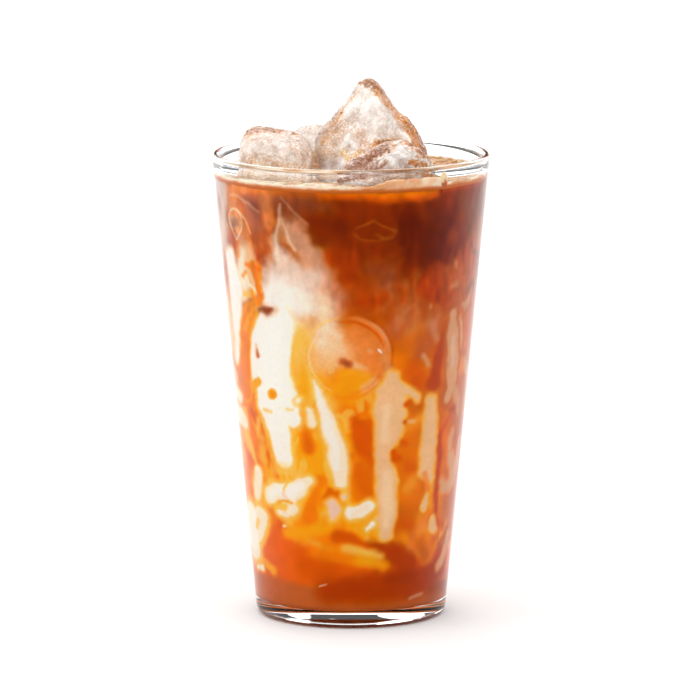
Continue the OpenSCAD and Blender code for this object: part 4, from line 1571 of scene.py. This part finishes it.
class Board(NodeBoard):
    """A new material with its shader."""

    def __init__(self, name: str) -> None:
        """Make the material and find its shader.

        Args:
            name: The material's name.
        """
        self.material = bpy.data.materials.new(name)
        self.material.use_nodes = True
        super().__init__(self.material.node_tree)
        self.shader = self.tree.nodes["Principled BSDF"]

    def set(self, **values: object) -> None:
        """Set the shader's own inputs by name, with _ for a space."""
        for key, value in values.items():
            self.shader.inputs[key.replace("_", " ")].default_value = value

    def noise(self, scale: float, detail: float = 3.0, rough: float = 0.5) -> Socket:
        """Return noise on object coordinates.

        Args:
            scale: Cells to the metre.
            detail: Octaves.
            rough: Share of the finer octaves.

        Returns:
            The socket with its values, 0 to 1.
        """
        place_node = self.add("ShaderNodeTexCoord")
        noise = self.add("ShaderNodeTexNoise", Scale=scale, Detail=detail, Roughness=rough)
        self.link(place_node.outputs["Object"], noise.inputs["Vector"])
        return noise.outputs["Fac"]

    def carried(self, key: str, kind: str = "Fac") -> Socket:
        """Return what the mesh's points carry under a name."""
        return self.add("ShaderNodeAttribute", attribute_name=key).outputs[kind]

    def mix(self, share: Socket, first: object, second: object) -> Socket:
        """Mix two colours, each a socket or a plain colour.

        Args:
            share: Share of the second colour.
            first: The first colour.
            second: The second colour.

        Returns:
            The socket with the mixture.
        """
        node = self.add("ShaderNodeMix", data_type="RGBA")
        self.link(share, node.inputs["Factor"])
        for socket, value in ((node.inputs[6], first), (node.inputs[7], second)):
            if isinstance(value, Socket):
                self.link(value, socket)
            else:
                socket.default_value = value
        return node.outputs[2]

    def bump(self, height: Socket, strength: float, distance: float) -> None:
        """Raise the shader's surface.

        Args:
            height: Height of each place, from 0 to 1.
            strength: How much of the slope shows.
            distance: Height that 1 stands for, in metres.
        """
        node = self.add("ShaderNodeBump", Strength=strength, Distance=distance)
        self.link(height, node.inputs["Height"])
        self.link(node.outputs["Normal"], self.shader.inputs["Normal"])


@dataclass(frozen=True)
class GlassFinish:
    """Clear pressed glass."""

    ior: float = 1.5
    tint: Rgba = (0.985, 0.992, 0.988, 1)
    mirror: Rgba = (0.1, 0.1, 0.1, 1)

    def material(self) -> Look:
        """Return the material."""
        board = Board("clear_glass")
        board.set(Base_Color=self.tint, Transmission_Weight=1.0, IOR=self.ior, Roughness=0.0,
                  Specular_Tint=self.mirror)
        return board.material


@dataclass(frozen=True)
class DrinkFinish:
    """The drink, seen through the glass, in the colours that its points carry."""

    grain: float = 0.03
    grain_cells: float = 900
    roughness: float = 0.4
    shine: float = 0.0
    ior: float = 1.35

    def material(self, name: str = "drink") -> Look:
        """Return the material.

        Args:
            name: Its name.

        Returns:
            The material: the carried colour, made a little darker or paler by a fine noise.
        """
        board = Board(name)
        stain = board.carried("stain", "Color")
        fine = board.span(board.noise(self.grain_cells, 4), (0.3, 0.7), (1 - self.grain, 1 + self.grain))
        shade = board.add("ShaderNodeVectorMath", operation="SCALE")
        board.link(stain, shade.inputs[0])
        board.link(fine, shade.inputs["Scale"])
        board.link(shade.outputs[0], board.shader.inputs["Base Color"])
        board.set(Roughness=self.roughness, Specular_IOR_Level=self.shine, IOR=self.ior)
        return board.material


@dataclass(frozen=True)
class FoamFinish:
    """Wet milk foam. Its depths are in metres, and it has so many cells to the metre."""

    roughness: float = 0.42
    shine: float = 0.3
    glow: float = 0.25
    glow_depth: float = 0.002
    cells: float = 1400
    cell_depth: float = 0.0003

    def material(self) -> Look:
        """Return the material: the carried colour over fine bubbles that a bump raises."""
        board = Board("foam")
        board.link(board.carried("stain", "Color"), board.shader.inputs["Base Color"])
        board.set(Roughness=self.roughness, Specular_IOR_Level=self.shine, Subsurface_Weight=self.glow,
                  Subsurface_Scale=self.glow_depth)
        board.bump(board.noise(self.cells, 3), 0.5, self.cell_depth)
        return board.material


@dataclass(frozen=True)
class IceFinish:
    """Half-melted ice: tinted as its points say, cracked, with white specks painted in as glints, wet where
    coffee lies.
    """

    # painted highlight: the white of the glints
    painted_glint: Rgba = (0.97, 0.96, 0.95, 1)
    ior: float = 1.31
    shine: float = 0.6
    glint_cells: float = 1500
    glint_share: float = 0.9
    patch_cells: float = 240
    patch_range: Pair = (0.35, 0.65)
    clear: Pair = (0.8, 0.35)
    roughness: Pair = (0.02, 0.16)
    dent_cells: float = 520
    dent_depth: float = 0.0006

    def material(self) -> Look:
        """Return the material.

        Returns:
            The material: white specks painted over the carried colour as glints, fewer where it is wet, and a
                noise in
            whose patches the ice runs from clear and smooth to cloudy and rough. Wet ice is less clear.
        """
        board = Board("ice")
        wet = board.carried("wet")
        # painted highlight: fine white specks in the base colour stand for glints on the ice, fewer where it
        # is wet
        glints = board.span(board.noise(self.glint_cells, 2, 0.6), (0.5, 0.58), (0, self.glint_share))
        dry_glints = board.times(glints, board.span(wet, (0, 0.7), (1, 0.12)))
        board.link(board.mix(dry_glints, board.carried("stain", "Color"), self.painted_glint),
                   board.shader.inputs["Base Color"])
        patches = board.noise(self.patch_cells, 4, 0.6)
        clear = board.times(board.span(patches, self.patch_range, self.clear),
                            board.span(wet, (0, 1), (1, 0.3)))
        board.link(clear, board.shader.inputs["Transmission Weight"])
        board.link(board.span(patches, self.patch_range, self.roughness), board.shader.inputs["Roughness"])
        board.set(IOR=self.ior, Specular_IOR_Level=self.shine)
        board.bump(board.noise(self.dent_cells, 4, 0.6), 0.7, self.dent_depth)
        return board.material


@dataclass(frozen=True)
class BeadFinish:
    """Drops of coffee on the ice."""

    tone: Rgba = (0.42, 0.15, 0.04, 1)
    roughness: float = 0.06
    ior: float = 1.34
    clear: float = 0.5
    shine: float = 0.7

    def material(self) -> Look:
        """Return the material."""
        board = Board("coffee_drops")
        board.set(Base_Color=self.tone, Roughness=self.roughness, IOR=self.ior,
                  Transmission_Weight=self.clear, Specular_IOR_Level=self.shine)
        return board.material


def coffee_drops(places: Array, outward: Array, wetness: Array, floor: float, look: Look,
                 count: int = 520, seed: int = 90) -> Piece:
    """Scatter drops of coffee over the wet parts of the ice.

    Args:
        places: Points of all lumps, in mm.
        outward: Outward direction at each point.
        wetness: How wet each point is, from 0 to 1.
        floor: Height of the foam, in mm. Drops lie above it.
        look: The drops' material.
        count: Number of drops.
        seed: Picks the places.

    Returns:
        All the drops as one piece.
    """
    rng = np.random.default_rng(seed)
    weight = (0.005 + wetness ** 2) * (places[:, 2] > floor)
    chosen = rng.choice(len(places), count, replace=False, p=weight / weight.sum())
    size = 0.14 + 0.3 * rng.random(count) ** 3
    beads = scattered_beads(places[chosen] * MM, outward[chosen], size * MM, 0.6, rows=4, sides=7)
    return place(beads, "coffee_drops", look, "coffee")


# ---- the studio

@dataclass(frozen=True)
class Studio:
    """A pale floor, soft light from the left and the back, and the camera."""

    floor_size: float = 12.0
    floor_tone: Rgba = (0.6, 0.6, 0.6, 1)
    aim: Triple = (-0.0003, 0.0, 0.085)
    distance: float = 1.94
    elevation: float = 9.4
    view_angle: float = 6.62
    sensor: float = 36.0
    sky_lean: Triple = (-0.55, 0.25, 0.8)
    lean_range: Pair = (-0.9, 0.95)
    sky_range: Pair = (1.38, 2.2)
    screen_foot: Pair = (0.08, 0.12)
    screen_top: Pair = (0.24, 0.34)
    screen_scale: float = 3.2
    screen_gaps: Pair = (0.53, 0.6)
    screen_light: float = 0.05

    def floor(self) -> None:
        """Lay the floor."""
        half = self.floor_size / 2
        mesh = bpy.data.meshes.new("studio_floor")
        mesh.from_pydata([(-half, -half, 0), (half, -half, 0), (half, half, 0), (-half, half, 0)], [],
                         [(0, 1, 2, 3)])
        thing = bpy.data.objects.new("studio_floor", mesh)
        bpy.context.scene.collection.objects.link(thing)
        board = Board("studio_floor")
        board.set(Base_Color=self.floor_tone, Roughness=0.9, Specular_IOR_Level=0.1)
        mesh.materials.append(board.material)

    def light(self) -> None:
        """Hang the soft sky and the lamps.

        The sky's light is even, but for a share that grows with the direction's lean to the left, the
        back and the top, and for a row of dark screens that stands a little above the horizon.
        """
        scene = bpy.context.scene
        scene.world = bpy.data.worlds.new("studio_sky")
        scene.world.use_nodes = True
        sky = NodeBoard(scene.world.node_tree)
        where = sky.add("ShaderNodeTexCoord").outputs["Generated"]
        lean, rise = sky.along(where, self.sky_lean), sky.along(where, (0, 0, 1))
        patches = sky.add("ShaderNodeTexNoise", Scale=self.screen_scale, Detail=1.0)
        sky.link(where, patches.inputs["Vector"])
        band = sky.times(sky.span(rise, self.screen_foot, (0, 1), "SMOOTHSTEP"),
                         sky.span(rise, self.screen_top, (1, 0), "SMOOTHSTEP"))
        screen = sky.times(band, sky.span(patches.outputs["Fac"], self.screen_gaps, (1, 0), "SMOOTHSTEP"))
        even = sky.span(lean, self.lean_range, self.sky_range, "SMOOTHSTEP")
        open_share = sky.span(screen, (0, 1), (1, self.screen_light), "SMOOTHSTEP")
        back = sky.tree.nodes["Background"]
        back.inputs["Color"].default_value = (1.0, 1.0, 1.0, 1.0)
        sky.link(sky.times(even, open_share), back.inputs["Strength"])
        for name, spot, size, power in (("left_lamp", (-1.6, -0.4, 1.3), 1.1, 6.0),
                                        ("back_lamp", (-0.6, 1.9, 1.6), 1.4, 8.0)):
            lamp = bpy.data.lights.new(name, "AREA")
            lamp.shape, lamp.size, lamp.energy = "DISK", size, power
            thing = bpy.data.objects.new(name, lamp)
            thing.location = spot
            thing.rotation_euler = aimed(spot, self.aim)
            scene.collection.objects.link(thing)

    def camera(self) -> None:
        """Set up the camera in front of the glass, a little above it."""
        scene = bpy.context.scene
        data = bpy.data.cameras.new("camera")
        data.sensor_width = self.sensor
        data.lens = self.sensor / 2 / math.tan(math.radians(self.view_angle / 2))
        data.clip_end = 100
        rise = math.radians(self.elevation)
        spot = (self.aim[0], self.aim[1] - self.distance * math.cos(rise),
                self.aim[2] + self.distance * math.sin(rise))
        thing = bpy.data.objects.new("camera", data)
        thing.location = spot
        thing.rotation_euler = aimed(spot, self.aim)
        scene.collection.objects.link(thing)
        scene.camera = thing

    def build(self) -> None:
        """Build the floor, the lights and the camera, and show colours as they are."""
        self.floor()
        self.light()
        self.camera()
        bpy.context.scene.view_settings.view_transform = "Standard"


def aimed(spot: Triple, target: Triple) -> Euler:
    """Return the rotation that turns a lamp or camera at spot to look at target."""
    return (Vector(target) - Vector(spot)).to_track_quat("-Z", "Y").to_euler()


# ---- putting it together

def ice_lumps() -> list[IceLump]:
    """Return the four lumps, with the coffee, the white lines and the painted glow that tint them."""
    t = Tone
    tall = (
        lay(t.CREAM, ((3, 169, 1.5), (6, 161, 4), (9, 157, 3.5)), edge=2.5, ragged=1.5, share=0.8)
        + lay(t.OAT, ((-4, 160, 2.5), (-8, 150, 3)), ((2, 156, 2),), edge=2.5, ragged=1.5, share=0.6)
        + lay(t.TAN, ((-6, 165, 2), (-6, 157, 3.5)), edge=2.5, ragged=1.5, share=0.35)
        # painted glow: honey and orange at the foot of the lump, where light from the drink shows through the
        # ice
        + lay(t.HONEY, ((-3, 149.5, 1), (2, 148, 1.6), (7, 151, 1.4)), edge=1.6, ragged=1.6, share=0.9)
        + lay(t.ORANGE, ((0, 147, 0.8), (6, 150, 1.2), (10, 152, 1.6)), edge=1.4, ragged=1.4, share=0.8)
        + lay(t.FILM, ((9, 153, 1.8), (13, 153.2, 2), (16.5, 151, 1.6)), edge=1.2, ragged=1.2, grain=0.8)
        + lay(t.UMBER, ((9, 154, 0.8), (13, 153.9, 1), (16, 151.5, 0.6)), edge=1, ragged=1.2, share=0.6,
              grain=1.4)
        # painted glow: honey at the right foot of the lump
        + lay(t.HONEY, ((20.6, 155, 2), (22, 150, 3), (22.6, 145, 3.4)), edge=1.4, ragged=1.1, share=0.9)
        + lay(t.FILM,
              ((8, 170, 1.2), (14.4, 163.4, 2), (19.4, 157.5, 2.6), (22.6, 150, 2.4), (23.6, 146, 2.4)),
              edge=1.2, ragged=1.1, grain=1)
        + lay(t.UMBER, ((5, 171, 0.8), (10, 169, 0.9), (18, 160.6, 1), (22.4, 153, 1.3), (23.6, 147, 1)),
              edge=1, ragged=1.4, share=0.7, grain=1.8)
        + lay(t.CREAM, ((4.8, 169, 0.9), (12.4, 159.8, 1.3), (18, 153.4, 1.2), (20.4, 149.5, 0.9)), edge=0.6,
              ragged=0.7)
        + lay(t.UMBER, ((1.6, 172.4, 0.8), (7.6, 171.8, 1)), edge=0.9, ragged=0.7, share=0.9, grain=1)
        + lay(t.FILM, ((-9, 152, 0.3), (-3, 162, 0.3), (2, 169, 0.3)), edge=0.5, ragged=0.7, share=0.6))
    left = (
        lay(t.CREAM, ((-31, 152, 1.6), (-22, 152, 1.6), (-17, 149, 1)), edge=1.4, ragged=1.2)
        + lay(t.OAT, ((-34, 145, 3), (-18, 145, 3)), edge=2, ragged=1.2, share=0.7)
        + lay(t.FILM, ((-35, 154.6, 0.6), (-30, 156.4, 1), (-22, 156.8, 1), (-17, 155.4, 0.5)), edge=1,
              ragged=1, share=0.8, grain=1.2)
        + lay(t.UMBER, ((-35, 155, 0.5), (-31, 156.8, 0.7), (-23, 157, 0.7), (-18, 156, 0.5)), ragged=0.8,
              share=0.8, grain=1.6)
        + lay(t.CREAM, ((-15.5, 152, 0.4), (-13.4, 147, 0.5)), edge=0.5, ragged=0.5))
    back = (lay(t.CREAM, ((-18, 150, 4), (-2, 152, 4)), edge=3, ragged=1.5, share=0.8)
            + lay(t.OAT, ((-20, 146, 1), (0, 147, 1)), edge=1.5, share=0.6))
    front = (
        lay(t.CREAM, ((10, 150, 2.2), (20, 151, 2.2)), edge=2, ragged=1.4)
        + lay(t.TAN, ((-4, 147.4, 1.6), (4, 151, 2.2), (13, 155, 1.4)), edge=1.2, ragged=0.7, grain=0.8)
        + lay(t.BARK, ((-4, 146.4, 0.7), (4, 150, 1.2), (12, 153.6, 0.6)), edge=1, ragged=0.7, grain=0.8)
        + lay(t.BARK, ((-4, 145, 0.8), (6, 148, 1), (11, 150, 0.6)), ((-2, 148.4, 0.4), (12, 155, 0.5)),
              ragged=0.9, share=0.9, grain=0.8)
        + lay(t.FILM, ((17, 155.4, 0.8), (24, 151.4, 2), (29, 148.4, 2.4)),
              ((18, 150, 0.5), (24, 147, 1.4), (28, 146.4, 1.7)), edge=1, ragged=1.9, grain=1.8)
        + lay(t.UMBER, ((19, 154.4, 0.5), (25, 151, 1), (29, 148, 1.2)), edge=1, ragged=1.9, share=0.8,
              grain=1.8)
        + lay(t.CREAM, ((22, 150.4, 0.4), (26, 147.6, 0.5)), ((25, 150, 0.3), (28, 147.4, 0.4)), edge=0.4,
              ragged=1.2)
        + lay(t.UMBER, ((10, 146, 0.8), (20, 147, 0.8)), edge=1, ragged=1.6, share=0.5))
    return [IceLump("ice_tall", (45, -36, -12), square=7, lumps=0.02, turn=40, marks=tuple(tall),
                    swells=((20, -2, 150, 14, 4), (18, -1, 159, 9, 2.2), (1.5, 0, 171, 5, 1.3))),
            IceLump("ice_left", (6, 8, 4), square=4, lumps=0.025, turn=100, marks=tuple(left)),
            IceLump("ice_back", (-12, 14, 20), square=4, lumps=0.025, turn=200, marks=tuple(back)),
            IceLump("ice_front", (34, 10, 10), square=4, lumps=0.03, turn=300, yaw=-62.0, marks=tuple(front),
                    swells=((6, -18, 156, 8, -2.2), (16.5, -23, 156, 5, 0.9), (26, -29, 154, 6, -1)))]


def main() -> None:
    """Build the glass, the drink, the foam, the ice and the studio."""
    logging.basicConfig(level=logging.INFO, format="%(name)s: %(message)s")
    vessel = Vessel.measured()
    marbling = Marbling()
    foam_look, ice_look = FoamFinish().material(), IceFinish().material()
    drink_look = DrinkFinish(grain=0.06).material("sunk_ice")
    Tumbler(vessel).build(GlassFinish())
    Latte(vessel).build(DrinkFinish(), marbling)
    cap = FoamCap(vessel)
    cap.build(foam_look)
    cap.bubbles(foam_look)
    stains = marbling.stains()
    for patch in (WallPatch("sunk_ring", -2, 88.6, across=14.2, tall=14.2, proud=0.3, ripple=0.05),
                  WallPatch("sunk_corner", -61, 129.6, across=5.6, tall=4.6, tilt=-20, square=2.4),
                  WallPatch("sunk_sliver", 11, 129.6, across=6, tall=3, square=3)):
        patch.build(vessel, drink_look, "ice", lambda rows: marbling.colours(rows, stains))
    splash = WallPatch("foam_splash", 43.2, 144.2, across=1.5, tall=3.1, tilt=8, square=2.2, deep=0.8)
    splash.build(vessel, foam_look, "foam", Marbling.splash_tones)
    built = [lump.build(ice_look, 100 + 20 * k) for k, lump in enumerate(ice_lumps())]
    places, outward, wetness = (np.concatenate([b[k] for b in built]) for k in (1, 2, 3))
    coffee_drops(places, outward, wetness, vessel.foam_top + 1, BeadFinish().material())
    Studio().build()


if __name__ == "__main__":
    main()
